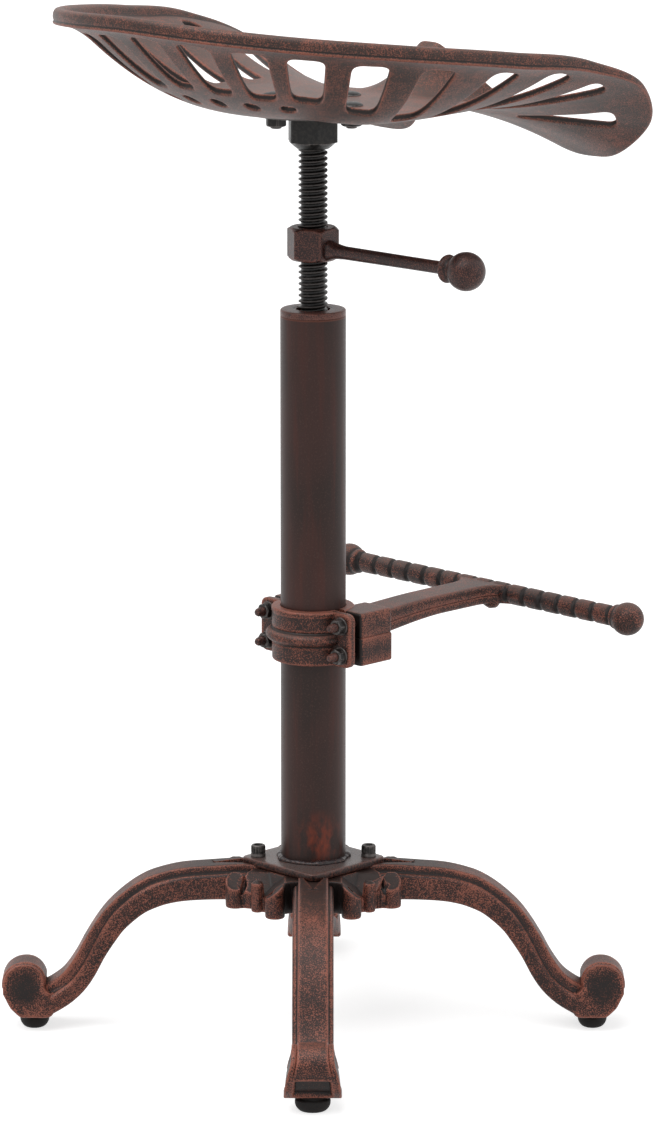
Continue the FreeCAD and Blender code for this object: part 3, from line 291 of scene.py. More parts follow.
def put(name, shells, body, material, replaces=(), spread=2.6, sharp=38.0):
    """Makes one piece of closed shells in millimetres, faces outwards, with its attribute of wear and painted
    shade, and puts it on a body in place of CAD nodes. A shell's third part, where given, is painted shade added to
    that attribute."""
    points, blocks, wear, start = [], [], [], 0
    for shell_points, shell_faces, *painted_shade in shells:
        if volume(shell_points, shell_faces) < 0:
            shell_faces = [block[:, ::-1] for block in shell_faces]
        points.append(shell_points)
        # Sharp edges count as wear, and inner corners and each shell's third part as painted shade
        wear.append(wear_and_shade_of(shell_points, shell_faces, spread) + (painted_shade[0] if painted_shade else 0))
        blocks += [block + start for block in shell_faces]
        start += len(shell_points)
    points = np.concatenate(points) * MM
    mesh = bpy.data.meshes.new(name)
    mesh.vertices.add(len(points))
    mesh.vertices.foreach_set("co", points.astype(np.float32).ravel())
    sizes = np.concatenate([np.full(len(block), block.shape[1]) for block in blocks])
    loops = np.concatenate([block.ravel() for block in blocks])
    mesh.loops.add(len(loops))
    mesh.loops.foreach_set("vertex_index", loops.astype(np.int32))
    mesh.polygons.add(len(sizes))
    mesh.polygons.foreach_set("loop_start", (np.cumsum(sizes) - sizes).astype(np.int32))
    mesh.polygons.foreach_set("loop_total", sizes.astype(np.int32))
    mesh.polygons.foreach_set("use_smooth", np.ones(len(sizes), bool))
    mesh.update(calc_edges=True)
    attribute = mesh.attributes.new("wear", "FLOAT", "POINT")
    attribute.data.foreach_set("value", np.concatenate(wear).astype(np.float32))
    mesh.set_sharp_from_angle(angle=math.radians(sharp))
    mesh.validate()
    obj = bpy.data.objects.new(name, mesh)
    bpy.context.scene.collection.objects.link(obj)
    mesh.materials.append(material)
    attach(obj, body)
    if replaces:
        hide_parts(*replaces)
    return obj


# Plan regions: sheets of triangles cut to an outline and holes

def nearest_on(loop, p):
    """For plan points: the nearest point on a closed polyline, the distance, and +1 on its left side. Each
    side's nearest point is at the share (p - a).d / d.d of the way along it, held between its ends. The
    points are taken in batches, to keep the tables small."""
    batch = 4000
    d = np.roll(loop, -1, 0) - loop
    square = np.maximum((d ** 2).sum(1), 1e-12)
    best = np.full(len(p), 1e18)
    foot = np.zeros_like(p)
    side = np.ones(len(p))
    for first in range(0, len(p), batch):
        here = slice(first, first + batch)
        q = p[here]
        rel = q[:, None] - loop[None]
        t = np.clip((rel * d[None]).sum(-1) / square, 0, 1)
        gap = rel - t[..., None] * d[None]
        dist = (gap ** 2).sum(-1)
        k = dist.argmin(1)
        row = np.arange(len(q))
        best[here] = dist[row, k]
        foot[here] = loop[k] + t[row, k, None] * d[k]
        along, out = d[k], gap[row, k]
        side[here] = np.sign(along[:, 0] * out[:, 1] - along[:, 1] * out[:, 0])
    return foot, np.sqrt(best), side


def region(p, loops, insets):
    """Signed distance into the material from the nearest boundary, the point on that boundary moved in by
    its inset, the plan direction out of the material there, and which loop it is. Loops run with the
    material on their left. Past the first, a loop is only tried on points within a margin of its box."""
    margin = 20
    value = np.full(len(p), 1e9)
    target = p.copy()
    out = np.zeros_like(p)
    which = np.zeros(len(p), int)
    for number, (loop, inset) in enumerate(zip(loops, insets)):
        low, high = loop.min(0) - margin, loop.max(0) + margin
        near = np.flatnonzero(((p > low) & (p < high)).all(1)) if number else np.arange(len(p))
        if not len(near):
            continue
        foot, dist, side = nearest_on(loop, p[near])
        shift = inset(foot) if callable(inset) else inset
        here = side * dist - shift
        away = (p[near] - foot) * side[:, None]
        length = np.maximum(np.linalg.norm(away, axis=1, keepdims=True), 1e-9)
        inward = away / length
        better = here < value[near]
        rows = near[better]
        value[rows] = here[better]
        out[rows] = -inward[better]
        shift = np.broadcast_to(shift, here.shape)[better][:, None]
        target[rows] = foot[better] + inward[better] * shift
        which[rows] = number
    return value, target, out, which


def cut_sheet(loops, insets, pitch):
    """A hexagonal grid of plan triangles cut where the region's signed distance is zero: points within 0.3 of
    the pitch are moved onto the boundary, and triangles that still cross it are cut at the share
    a / (a - b) of each crossed side. Gives points, triangles, and each point's direction out and loop."""
    low, high = loops[0].min(0) - pitch, loops[0].max(0) + pitch
    rise = pitch * math.sqrt(3) / 2
    rows = int((high[1] - low[1]) / rise) + 2
    columns = int((high[0] - low[0]) / pitch) + 2
    r, c = np.meshgrid(np.arange(rows), np.arange(columns), indexing="ij")
    p = np.stack([low[0] + (c + 0.5 * (r % 2)) * pitch, low[1] + r * rise], -1).reshape(-1, 2)
    index = np.arange(rows * columns).reshape(rows, columns)
    a, b, d, e = index[:-1, :-1], index[:-1, 1:], index[1:, :-1], index[1:, 1:]
    odd = (np.arange(rows - 1) % 2 == 1)[:, None]
    one = np.where(odd[..., None], np.stack([a, b, e], -1), np.stack([a, b, d], -1))
    two = np.where(odd[..., None], np.stack([a, e, d], -1), np.stack([b, e, d], -1))
    tris = np.concatenate([one.reshape(-1, 3), two.reshape(-1, 3)])
    value, target = region(p, loops, insets)[:2]
    snap = np.abs(value) < 0.3 * pitch
    p[snap] = target[snap]
    sign = np.where(snap, 0, np.sign(value)).astype(int)
    s = sign[tris]
    kept = [tris[(s >= 0).all(1) & (s.max(1) > 0)]]
    flat = tris[(s == 0).all(1)]
    if len(flat):
        inside = region(p[flat].mean(1), loops, insets)[0] > 0
        kept.append(flat[inside])
    cuts = []

    def rolled(chosen, first):
        """Triangles with the marked corner first, their turning kept."""
        order = (np.argmax(first, 1)[:, None] + np.arange(3)) % 3
        return np.take_along_axis(chosen, order, 1)

    def cut(one_end, other_end):
        """Numbers of new points on the sides between two points each, below zero until they are placed."""
        cuts.append(np.stack([one_end, other_end], -1))
        return -np.arange(sum(map(len, cuts)) - len(one_end), sum(map(len, cuts))) - 1

    mixed = (s.max(1) > 0) & (s.min(1) < 0)
    pos, neg = (s > 0).sum(1), (s < 0).sum(1)
    t = tris[mixed & (pos == 1) & (neg == 2)]
    t = rolled(t, sign[t] > 0)
    kept.append(np.stack([t[:, 0], cut(t[:, 0], t[:, 1]), cut(t[:, 0], t[:, 2])], -1))
    t = tris[mixed & (pos == 2)]
    t = rolled(t, sign[t] < 0)
    first, second = cut(t[:, 1], t[:, 0]), cut(t[:, 2], t[:, 0])
    kept.append(np.stack([first, t[:, 1], t[:, 2]], -1))
    kept.append(np.stack([first, t[:, 2], second], -1))
    t = tris[mixed & (pos == 1) & (neg == 1)]
    t = rolled(t, sign[t] == 0)
    ahead = sign[t[:, 1]] > 0
    u = t[ahead]
    kept.append(np.stack([u[:, 0], u[:, 1], cut(u[:, 1], u[:, 2])], -1))
    u = t[~ahead]
    kept.append(np.stack([u[:, 0], cut(u[:, 2], u[:, 1]), u[:, 2]], -1))
    tris = np.concatenate(kept)
    cuts = np.concatenate(cuts)
    ends, back = np.unique(np.sort(cuts, 1), axis=0, return_inverse=True)
    back = back.reshape(-1)
    va, vb = value[ends[:, 0]], value[ends[:, 1]]
    share = (va / (va - vb))[:, None]
    new = p[ends[:, 0]] * (1 - share) + p[ends[:, 1]] * share
    for _ in range(2):
        new = region(new, loops, insets)[1]
    tris = np.where(tris < 0, len(p) + back[np.clip(-tris - 1, 0, len(back) - 1)], tris)
    p = np.concatenate([p, new])
    used, tris = np.unique(tris, return_inverse=True)
    tris = tris.reshape(-1, 3)
    p = p[used]
    return p, tris, *region(p, loops, insets)[2:]


def boundary_edges(tris):
    """Edges with a triangle on one side only, in that triangle's order."""
    edges = np.concatenate([tris[:, [0, 1]], tris[:, [1, 2]], tris[:, [2, 0]]])
    first, count = np.unique(np.sort(edges, 1), axis=0, return_index=True, return_counts=True)[1:]
    return edges[first[count == 1]]


def slab(loops, insets, pitch, top, bottom, walls):
    """A closed shell over a plan region: a top sheet, a bottom sheet, and round each loop a wall whose
    rows are given by walls[loop](points, out): plan points and heights from the top edge to the bottom.
    Gives points, faces and for each point the number of its wall, 0 on the sheets."""
    p, tris, out, which = cut_sheet(loops, insets, pitch)
    number = len(p)
    points = [np.column_stack([p, top(p)]), np.column_stack([p, bottom(p)])]
    faces = [tris, tris[:, ::-1] + number]
    marks = [np.zeros(2 * number)]
    edges = boundary_edges(tris)
    start = 2 * number
    kinds = np.minimum(which, len(walls) - 1)
    quads = []
    for kind, wall in enumerate(walls):
        mine = edges[kinds[edges[:, 0]] == kind]
        if not len(mine):
            continue
        ids, local = np.unique(mine, return_inverse=True)
        local = local.reshape(-1, 2)
        rows = wall(p[ids], out[ids])
        inner = rows[1:-1]
        count = len(ids)
        made = start + np.arange(len(inner) * count).reshape(len(inner), count)
        table = np.concatenate([ids[None], made, ids[None] + number])
        points.append(inner.reshape(-1, 3))
        marks.append(np.full(len(inner) * count, kind + 1))
        start += len(inner) * count
        one, two = table[:, local[:, 0]], table[:, local[:, 1]]
        quads.append(np.stack([two[:-1], one[:-1], one[1:], two[1:]], -1).reshape(-1, 4))
    return np.concatenate(points), faces + quads, np.concatenate(marks)


def on_plan(distance, degrees):
    """A plan point at a distance from the centre and an angle."""
    return np.array([math.cos(math.radians(degrees)), math.sin(math.radians(degrees))]) * distance


def stadium(centre, length, width, direction, steps=10):
    """A closed oval loop: two half circles joined by straight lines, clockwise so that its inside is a hole."""
    angle = np.linspace(-math.pi / 2, math.pi / 2, steps)
    arc = np.column_stack([np.cos(angle), np.sin(angle)]) * width / 2
    half = (length - width) / 2
    loop = np.concatenate([arc + [half, 0], -arc - [half, 0]])
    direction = np.asarray(direction, float) / np.linalg.norm(direction)
    across = np.array([-direction[1], direction[0]])
    loop = centre + loop[:, :1] * direction + loop[:, 1:] * across
    return loop[::-1]


def taper(inner, outer, inner_width, outer_width):
    """A closed loop between two plan points, with its own width and corner rounding at each end. The near
    rounding is 9 mm or 0.46 of the width, the far one 7 mm."""
    along = outer - inner
    along = along / np.linalg.norm(along)
    across = np.array([-along[1], along[0]])
    corners = [inner - across * inner_width / 2, outer - across * outer_width / 2,
               outer + across * outer_width / 2, inner + across * inner_width / 2]
    near, far = min(9.0, 0.46 * inner_width), 7.0
    middle = [(corners[3] + corners[0]) / 2]
    loop = softened(middle + corners + middle, [0, near * 1.25, far * 1.2, far * 1.2, near * 1.25, 0], 7)
    return loop[:-1][::-1]


# Seat

def rim_at(angle):
    """Reach and height of the rim at angles in degrees: cubic Hermite curves between the stations, their
    slopes the three-point ones, level at the front and back centres."""
    angle = np.abs((np.asarray(angle, float) + 180) % 360 - 180)
    x, y = RIM[:, 0], RIM[:, 1:]
    span = np.diff(x)[:, None]
    rise = np.diff(y, axis=0) / span
    slope = np.zeros_like(y)
    slope[1:-1] = (rise[:-1] * span[1:] + rise[1:] * span[:-1]) / (span[1:] + span[:-1])
    k = np.clip(np.searchsorted(x, angle, side="right") - 1, 0, len(x) - 2)
    t = ((angle - x[k]) / (x[k + 1] - x[k]))[..., None]
    step = (x[k + 1] - x[k])[..., None]
    return ((2 * t ** 3 - 3 * t ** 2 + 1) * y[k] + (t ** 3 - 2 * t ** 2 + t) * slope[k] * step
            + (3 * t ** 2 - 2 * t ** 3) * y[k + 1] + (t ** 3 - t ** 2) * slope[k + 1] * step)


def angle_of(p):
    """Angle of plan points from straight ahead, 0 to 180 degrees."""
    return np.abs(np.degrees(np.arctan2(p[:, 1], p[:, 0])))


def bowl_share(angle):
    """1 round the back and sides and 0 over the front lobes."""
    return ramp_between(angle, 45.0, 85.0)


def pan_height(p):
    """Height of the pan's underside over plan points: a level floor, then a power of the share of the way
    out to the rim, eased by a parabola to level under the rolled edge. The sides have a wider floor and a
    lower power than the front and the back."""
    angle = angle_of(p)
    share = bowl_share(angle)
    side = ramp_between(angle, 35, 70) - ramp_between(angle, 110, 145)
    floor = 50 + 38 * side
    power = 2 - 0.45 * side
    reach, height = np.moveaxis(rim_at(angle), -1, 0)
    extra = np.maximum(SEAT_FLARE * share, 0.0001)
    full = 1 + extra
    ease = 2 * extra / (power * full)
    out = np.maximum(np.hypot(p[:, 0], p[:, 1]) - floor, 0) / (reach - floor)
    held = np.minimum(out, 1)
    rise = full * held ** power - extra / ease ** 2 * np.maximum(held - 1 + ease, 0) ** 2
    rise += (power * full - 2 * extra / ease) * np.maximum(out - 1, 0)
    edge = SEAT_WALL + (RIM_HEIGHT - SEAT_WALL) * share
    return FLANGE_TOP - SEAT_RECESS + (height - edge + SEAT_RECESS) * rise


# Rolled rim and plain lobe edge, each from the top sheet's edge round to the bottom sheet's: distance from
# the outline (inwards negative) and height above the underside
RIM_ROWS = np.array([
    (-12.0, 5.0), (-11.2, 5.05), (-10.5, 5.4), (-9.9, 6.2), (-9.3, 7.6), (-8.6, 9.2), (-7.4, 10.4),
    (-5.8, 11.0), (-3.9, 11.0), (-2.2, 10.3), (-1.0, 9.0), (-0.35, 7.2), (-0.1, 5.2), (-0.3, 3.6),
    (-0.75, 2.7), (-0.6, 2.1), (-0.1, 1.5), (-0.1, 0.7), (-0.7, 0.1), (-1.8, -0.1), (-3.0, 0.1), (-5.5, 0.1),
    (-12.0, 0.0)])
LOBE_ROWS = np.array([
    (-3.4, 5.0), (-3.1, 5.0), (-2.8, 5.0), (-2.5, 4.97), (-2.1, 4.9), (-1.7, 4.75), (-1.3, 4.5), (-0.9, 4.15),
    (-0.55, 3.7), (-0.3, 3.3), (-0.1, 2.9), (0.0, 2.5), (-0.05, 2.1), (-0.15, 1.7), (-0.3, 1.4), (-0.45, 1.15),
    (-0.65, 0.9), (-0.9, 0.65), (-1.3, 0.4), (-1.8, 0.2), (-2.4, 0.05), (-2.9, 0.0), (-3.4, 0.0)])
# A slot's upper edge: way out and height above the end of the rounding, both as shares of the rounding
SLOT_ROWS = np.array([(0, 1.0), (0.45, 0.92), (0.8, 0.6), (1.0, 0.0), (1.0, -0.4), (1.0, -0.9)])


def seat_shell(oval_length, oval_width, rounding):
    """The cast pan: sheets over the plan between the rolled rim and the slots, rounded at every edge. A third
    array holds the painted shade in the middle of the slots' walls."""
    turn = np.radians(np.arange(0, 360, 0.5))
    reach = rim_at(np.degrees(turn))[:, 0]
    outline = np.column_stack([np.cos(turn), np.sin(turn)]) * reach[:, None]
    loops = [outline]
    for a, near, b, far, near_width, far_width in SLOTS:
        for side in (-1, 1) if a else (1,):
            inner, outer = on_plan(near, 180 + side * a), on_plan(far, 180 + side * b)
            loops.append(taper(inner, outer, near_width, far_width))
    for side in (-1, 1):
        for step in range(OVALS):
            middle = on_plan(OVAL_REACH - OVAL_STEP_IN * step, 180 + side * (step + 0.5) * OVAL_SPACING)
            loops.append(stadium(middle, oval_length, oval_width, middle))

    def rim_inset(p):
        """How far in the flat sheets end: behind the rolled rim, and less at the plain lobe edge."""
        return LOBE_INSET + (RIM_INSET - LOBE_INSET) * bowl_share(angle_of(p))

    def rim_wall(p, out):
        """The rim's rows and the lobe edge's, mixed by the bowl's share, laid outwards over the pan."""
        share = bowl_share(angle_of(p))[None, :, None]
        rows = RIM_ROWS[:, None] * share + LOBE_ROWS[:, None] * (1 - share)
        plan_points = p[None] + out[None] * (rows[..., :1] - rows[:1, :, :1])
        heights = [pan_height(row) + lift for row, lift in zip(plan_points, rows[..., 1])]
        return np.concatenate([plan_points, np.array(heights)[..., None]], -1)

    def slot_wall(p, out):
        """A quarter circle of the rounding at the top, straight down, and its mirror at the bottom."""
        go = np.concatenate([SLOT_ROWS, SLOT_ROWS[::-1]])[:, 0] * rounding
        down = (1 - SLOT_ROWS[:, 1]) * rounding
        lift = np.concatenate([SEAT_WALL - down, down[::-1]])
        plan_points = p[None] + out[None] * go[:, None, None]
        heights = [pan_height(row) + up for row, up in zip(plan_points, lift)]
        return np.concatenate([plan_points, np.array(heights)[..., None]], -1)

    points, faces, marks = slab(loops, [rim_inset] + [rounding] * (len(loops) - 1), SEAT_PITCH,
                                lambda p: pan_height(p) + SEAT_WALL, pan_height, [rim_wall, slot_wall])
    from_middle = np.abs(points[:, 2] - pan_height(points[:, :2]) - SEAT_WALL / 2)
    # Painted shade down the middle of the slots' walls
    painted_shade = -1.1 * (marks == 2) * ramp_between(-from_middle, -1.9, -1.2)
    return turn_about_z(points, SEAT_TURN), faces, painted_shade


# Legs, feet and hub

def leg_section(drop, depth):
    """Half section of a leg from the middle of the rib to the middle of the underside, as side distance and
    depth below the rib: flat rib with rounded edges, groove, sloping shoulder, wall, rounded underside. The
    groove and the shoulder go down with the drop, and the underside with the depth."""
    k = drop / LEG_DROP[0]
    ledge = 5.9 * k
    rib = [(0.0, 0), (2.2, 0), (4.4, 0), (6.0, 0), (7.0, 0), (8.4, 0), (9.3, 0.12), (9.95, 0.55), (10.3, 1.3),
           (10.4, 2.4 * k), (10.5, 4.3 * k), (10.75, 5.1 * k)]
    shoulder = [(11.1, 5.65 * k), (11.6, 5.75 * k), (12.3, ledge), (13.1, ledge + 0.7), (13.7, ledge + 1.6),
                (LEG_HALF, ledge + 2.9), (LEG_HALF, ledge + 5.5)]
    low = [(LEG_HALF, depth - 4.0), (13.9, depth - 2.2), (13.4, depth - 1.0), (12.4, depth - 0.25),
           (10.8, depth), (6.0, depth), (0.0, depth)]
    return np.array(rib + shoulder + low)


def leg_half(reach, height):
    """Half width of the leg's walls, flaring low down over the foot as far as the foot's own width."""
    wide = np.interp(height, FOOT_WIDTH[:, 0], FOOT_WIDTH[:, 1])
    return LEG_HALF + (wide - LEG_HALF) * ramp_between(reach, 165, 190)


def foot_half(reach, height):
    """Half width of the foot: the leg's, drawn in by 1.6 mm at the heel, where it lies inside the leg."""
    return leg_half(reach, height) - 1.6 * ramp_between(-reach, -185, -181.6)


# Pocket in the rib at the leg's root: where it starts, how long it tapers, half width and depth
POCKET_START, POCKET_LENGTH, POCKET_HALF, POCKET_DEPTH = 47.0, 23.0, 6.5, 2.2


def leg_shell():
    """One leg along +X: the section carried along the side view's two lines, with the pocket at its root."""
    data = curve_through(np.column_stack([LEG_TOP, LEG_LOW, LEG_DROP]), 96)
    rings = []
    for top, low, drop in zip(data[:, :2], data[:, 2:4], data[:, 4]):
        depth = np.linalg.norm(low - top)
        section = leg_section(drop, depth)
        part = (top[0] - POCKET_START) / POCKET_LENGTH
        if part < 1:
            half = POCKET_HALF * (1 - max(part, 0)) + 0.3
            sink = POCKET_DEPTH * ramp_between(1 - part, 0, 0.12)
            section[:4] = np.column_stack([np.array([0, 0.55, 0.9, 1.0]) * half, [sink, sink, sink, 0]])
            section[4] = (max(half + 0.6, 7.0 * min(1, half / POCKET_HALF) + 0.8), 0)
        down = (low - top) / depth
        whole = np.concatenate([section, section[-2:0:-1] * [-1, 1]])
        place = top[None] + whole[:, 1:] * down
        flare = leg_half(place[:, 0], place[:, 1]) - LEG_HALF - 1.4 * ramp_between(place[:, 0], 182.5, 186)
        side = whole[:, 0] + np.sign(whole[:, 0]) * flare * ramp_between(np.abs(whole[:, 0]), 9.0, 13.0)
        rings.append(np.column_stack([place[:, 0], side, place[:, 1]]))
    return surface(rings)


def foot_shell():
    """The foot along +X: its side outline, full width at the rim and drawn to the middle of both faces.
    The rim carries a raised band between two grooves, and the toe a recess below its crest. A third array
    holds the painted shade in the recess and on the upper middle of both faces."""
    line = curve_through(FOOT_LINE, 132, closed=True)
    ahead = np.roll(line, -1, 0) - np.roll(line, 1, 0)
    ahead /= np.linalg.norm(ahead, axis=1, keepdims=True)
    out = np.column_stack([-ahead[:, 1], ahead[:, 0]])
    if ((line - FOOT_CENTRE) * out).sum() < 0:
        out = -out
    half = foot_half(line[:, 0], line[:, 1])
    bearing = np.degrees(np.arctan2(*(line - FOOT_CENTRE).T[::-1]))
    upper = ramp_between(bearing, 2, 14) * ramp_between(-bearing, -172, -160)
    toe = ramp_between(bearing, -74, -70) * ramp_between(-bearing, 5, 12)
    crest = np.exp(-((bearing + 2.5) / 4.0) ** 2)
    rows = []
    # side distance as a share of the half width, height of the band, share of the recess, of the crest
    rim = [(1.0, -1.5, 0, 0.3), (1.0, -0.55, 0, 0.6), (0.965, -0.1, 0, 0.8), (0.93, 0.0, 0, 0.9),
           (0.86, 0.0, 0, 1.0), (0.80, -0.2, 0, 1), (0.77, -0.55, 0, 1), (0.745, -0.1, 0, 1),
           (0.72, 0.55, 0, 1), (0.68, 0.85, 0.1, 1), (0.64, 0.9, 0.5, 1), (0.60, 0.9, 0.95, 1),
           (0.55, 0.9, 1, 1), (0.4, 0.9, 1, 1), (0.2, 0.9, 1, 1)]
    rim = rim + [(0.0, 0.9, 1, 1)] + [(-a, b, c, d) for a, b, c, d in rim[::-1]]
    for share, band, recess, ridge in rim:
        lift = np.where(band > -0.3, band * upper, band * np.maximum(upper, abs(share) > 0.95))
        lift = lift - 3.2 * recess * toe + 0.35 * ridge * crest
        place = line + out * lift[:, None]
        rows.append(np.column_stack([place[:, 0], share * half, place[:, 1]]))
    faces = []
    for side, first in ((1, rows[0]), (-1, rows[-1])):
        rings = []
        for share, sink in ((0.94, 0.0), (0.88, 0.35), (0.8, 0.5), (0.6, 0.5), (0.4, 0.5), (0.2, 0.5)):
            flat = FOOT_CENTRE + (first[:, [0, 2]] - FOOT_CENTRE) * share
            width = foot_half(flat[:, 0], flat[:, 1])
            rings.append(np.column_stack([flat[:, 0], side * (width - sink), flat[:, 1]]))
        faces.append(rings)
    points, tris = surface(faces[0][::-1] + rows + faces[1])
    plan = points[:, [0, 2]]
    recessed = np.abs(points[:, 1]) < 0.62 * leg_half(plan[:, 0], plan[:, 1])
    from_middle = np.linalg.norm(plan - (FOOT_CENTRE + [0, 3.0]), axis=1)
    from_edge = np.linalg.norm(plan[:, None] - line[None], axis=2).min(1)
    # Painted shade on the upper middle of both faces, and in the toe's recess below
    painted_shade = -0.6 * ramp_between(-from_middle, -15.0, -6.0) * ramp_between(from_edge, 1.2, 3.2) * ~recessed
    bearing = np.degrees(np.arctan2(*(plan - FOOT_CENTRE).T[::-1]))
    painted_shade -= 0.6 * recessed * ramp_between(bearing, -74, -68) * ramp_between(-bearing, 7, 14)
    return points, tris, painted_shade


# The plate's corners lie this far along the legs, and in the hub's plan each leg has a volute and a bead
PLATE_REACH = 50.7
VOLUTE = np.array([54.0, 26.3])
VOLUTE_RADIUS = 6.85
BEAD = np.array([38.5, 38.5])
BEAD_RADIUS = 4.4


def hub_loop():
    """The hub's plan outline: for each leg side a notch beside the leg, a volute arc, a short run and the
    bead's arc, mirrored across the diagonal, quarter by quarter, counter-clockwise."""
    angle = np.radians(np.linspace(-152, 124, 36))
    volute = VOLUTE + VOLUTE_RADIUS * np.column_stack([np.cos(angle), np.sin(angle)])
    angle = np.radians(np.linspace(-50, 45, 11))
    bead = BEAD + BEAD_RADIUS * np.column_stack([np.cos(angle), np.sin(angle)])
    gap = np.linspace(volute[-1], bead[0], 7)[1:-1] + np.array([-0.6, -0.9])
    leg = np.array([(43.0, 8.0), (43.6, 12.5), (44.6, 15.6), (46.2, 18.4), (47.2, 21.0)])
    half = np.concatenate([leg, volute, gap, bead])
    twin = half[::-1][:, ::-1]
    quarter = np.concatenate([half, twin[1:]])
    quarter = np.column_stack([quarter, np.zeros(len(quarter))])
    return np.concatenate([turn_about_z(quarter, 90 * step) for step in range(4)])[:, :2]


def hub_top(p, both=False):
    """Height of the hub over plan points: level under the plate, then falling 40 degrees away from the nearer
    leg's axis; each volute a disc raised over a spiral with a thin line along its edge; a dome on each bead.
    With both, also the height without volutes and beads."""
    q = np.abs(p)
    low = q.min(1)
    beyond = (q.sum(1) - PLATE_REACH) / math.sqrt(2)
    slope = 116.2 - 0.83 * np.maximum(low - 19.5, 0)
    ceiling = PLATE_LOW - 0.2
    plain = height = np.clip(slope, ceiling - 1.5 * np.maximum(beyond + 1.0, 0), ceiling)
    for swap in (False, True):
        r = (q[:, ::-1] if swap else q) - VOLUTE
        rho = np.hypot(r[:, 0], r[:, 1])
        sweep = (124 - np.degrees(np.arctan2(r[:, 1], r[:, 0]))) % 360
        spiral = 7.3 - 4.4 * ramp_between(sweep, 262, 352)
        inside = rho < 9
        disc = ramp_between(spiral - rho, 0.0, 0.5) * inside
        line = np.exp(-((rho - np.minimum(spiral - 0.8, 6.1)) / 0.5) ** 2) * inside
        crescent = ramp_between(rho - spiral, 0.0, 0.7) * ramp_between(-rho, -8.6, -6.6)
        crescent *= ramp_between(sweep, 250, 310)
        height = np.minimum(height + 1.3 * disc, 116.7) + 0.4 * line - 3.4 * crescent
    knob = np.hypot(q[:, 0] - BEAD[0], q[:, 1] - BEAD[1])
    dome = 111.4 + np.sqrt(np.maximum((BEAD_RADIUS - 0.1) ** 2 - knob ** 2, 0))
    height = np.where(knob < BEAD_RADIUS - 0.25, np.maximum(height, dome), height)
    return (height, plain) if both else height


def hub_shell():
    """The hub between the legs: a slab over its plan outline with a rounded wall below the sloping top. A
    third array holds the painted shade beside the volutes' spirals and beside the legs."""
    upper = [(0, 0), (0.5, -0.15), (0.85, -0.5), (1.0, -1.1), (1.05, -3.5)]
    lower = [(1.05, 3.8), (1.0, 1.6), (0.85, 0.7), (0.5, 0.2), (0, 0)]

    def wall(p, out):
        """Rows of a way out and a height, counted from the top in the upper half and from below after it."""
        top = hub_top(p)
        rows = [np.column_stack([p + out * go, top + down]) for go, down in upper]
        rows += [np.column_stack([p + out * go, np.full(len(p), HUB_LOW + up)]) for go, up in lower]
        return np.array(rows)

    def floor(p):
        """The level underside."""
        return np.full(len(p), HUB_LOW)

    points, faces, marks = slab([hub_loop()], [1.0], 0.85, hub_top, floor, [wall])
    height, plain = hub_top(points[:, :2], both=True)
    # Painted shade in the sunk crescents beside the volutes, and on the walls beside the legs
    shade_where_sunk = (marks == 0) * ramp_between(plain - height, 0.7, 1.8)
    shade_beside_leg = (marks > 0) * ramp_between(-np.abs(points[:, :2]).min(1), -21.5, -19.5)
    return points, faces, -1.6 * shade_where_sunk - 1.2 * shade_beside_leg


# Clamp and footrest, in the clamp's own frame: arm along +X, front half at -X

CLAMP_TURN = 45.0
CLAMP_LOW, CLAMP_HIGH, CLAMP_MIDDLE = 264.8, 302.4, 283.5
RING_OUT, RING_IN = 28.5, 22.6
RIB_HEIGHT = 282.8
EAR_IN, EAR_OUT = 20.5, 43.5
BOLT_SIDE, BOLT_RISE = 35.4, 10.4
BAR_REACH, BAR_HEIGHT = 172.5, 286.0
BALL_SIDE = 136.0


def half_ring(ribbed):
    """A half of the clamp's ring: its section carried round from one parting face to the other. The outside
    is plain with rounded ends, plus, where ribbed is 1, a lip at the top and a half-round rib between two
    grooves."""
    z = np.concatenate([[CLAMP_LOW, CLAMP_LOW + 0.3, CLAMP_LOW + 1.0], np.linspace(266.2, 301.2, 64),
                        [CLAMP_HIGH - 0.8, CLAMP_HIGH - 0.2, CLAMP_HIGH]])
    rib = 4.4 * np.sqrt(np.maximum(1 - ((z - RIB_HEIGHT) / 4.0) ** 2, 0))
    groove = -0.5 * np.exp(-((np.abs(z - RIB_HEIGHT) - 5.2) / 0.5) ** 2)
    lip = 0.4 * ramp_between(z, 298.4, 299.2)
    out = RING_OUT + (rib + groove + lip) * ribbed
    rounding = 1.3
    share = np.clip(np.minimum(z - CLAMP_LOW, CLAMP_HIGH - z) / rounding, 0, 1)
    out -= rounding * (1 - np.sqrt(share * (2 - share)))
    inner = np.array([(RING_IN + 0.3, CLAMP_HIGH), (RING_IN, CLAMP_HIGH - 0.4), (RING_IN, CLAMP_LOW + 0.4),
                      (RING_IN + 0.3, CLAMP_LOW)])
    section = np.concatenate([np.column_stack([out, z]), inner])
    parting = 2.5
    lean = np.arcsin(parting / section[:, 0])[None]
    angle = math.pi / 2 + lean + np.linspace(0, 1, 49)[:, None] * (math.pi - 2 * lean)
    rings = np.stack([section[None, :, 0] * np.cos(angle), section[None, :, 0] * np.sin(angle),
                      np.broadcast_to(section[None, :, 1], angle.shape)], -1)
    return surface(rings)


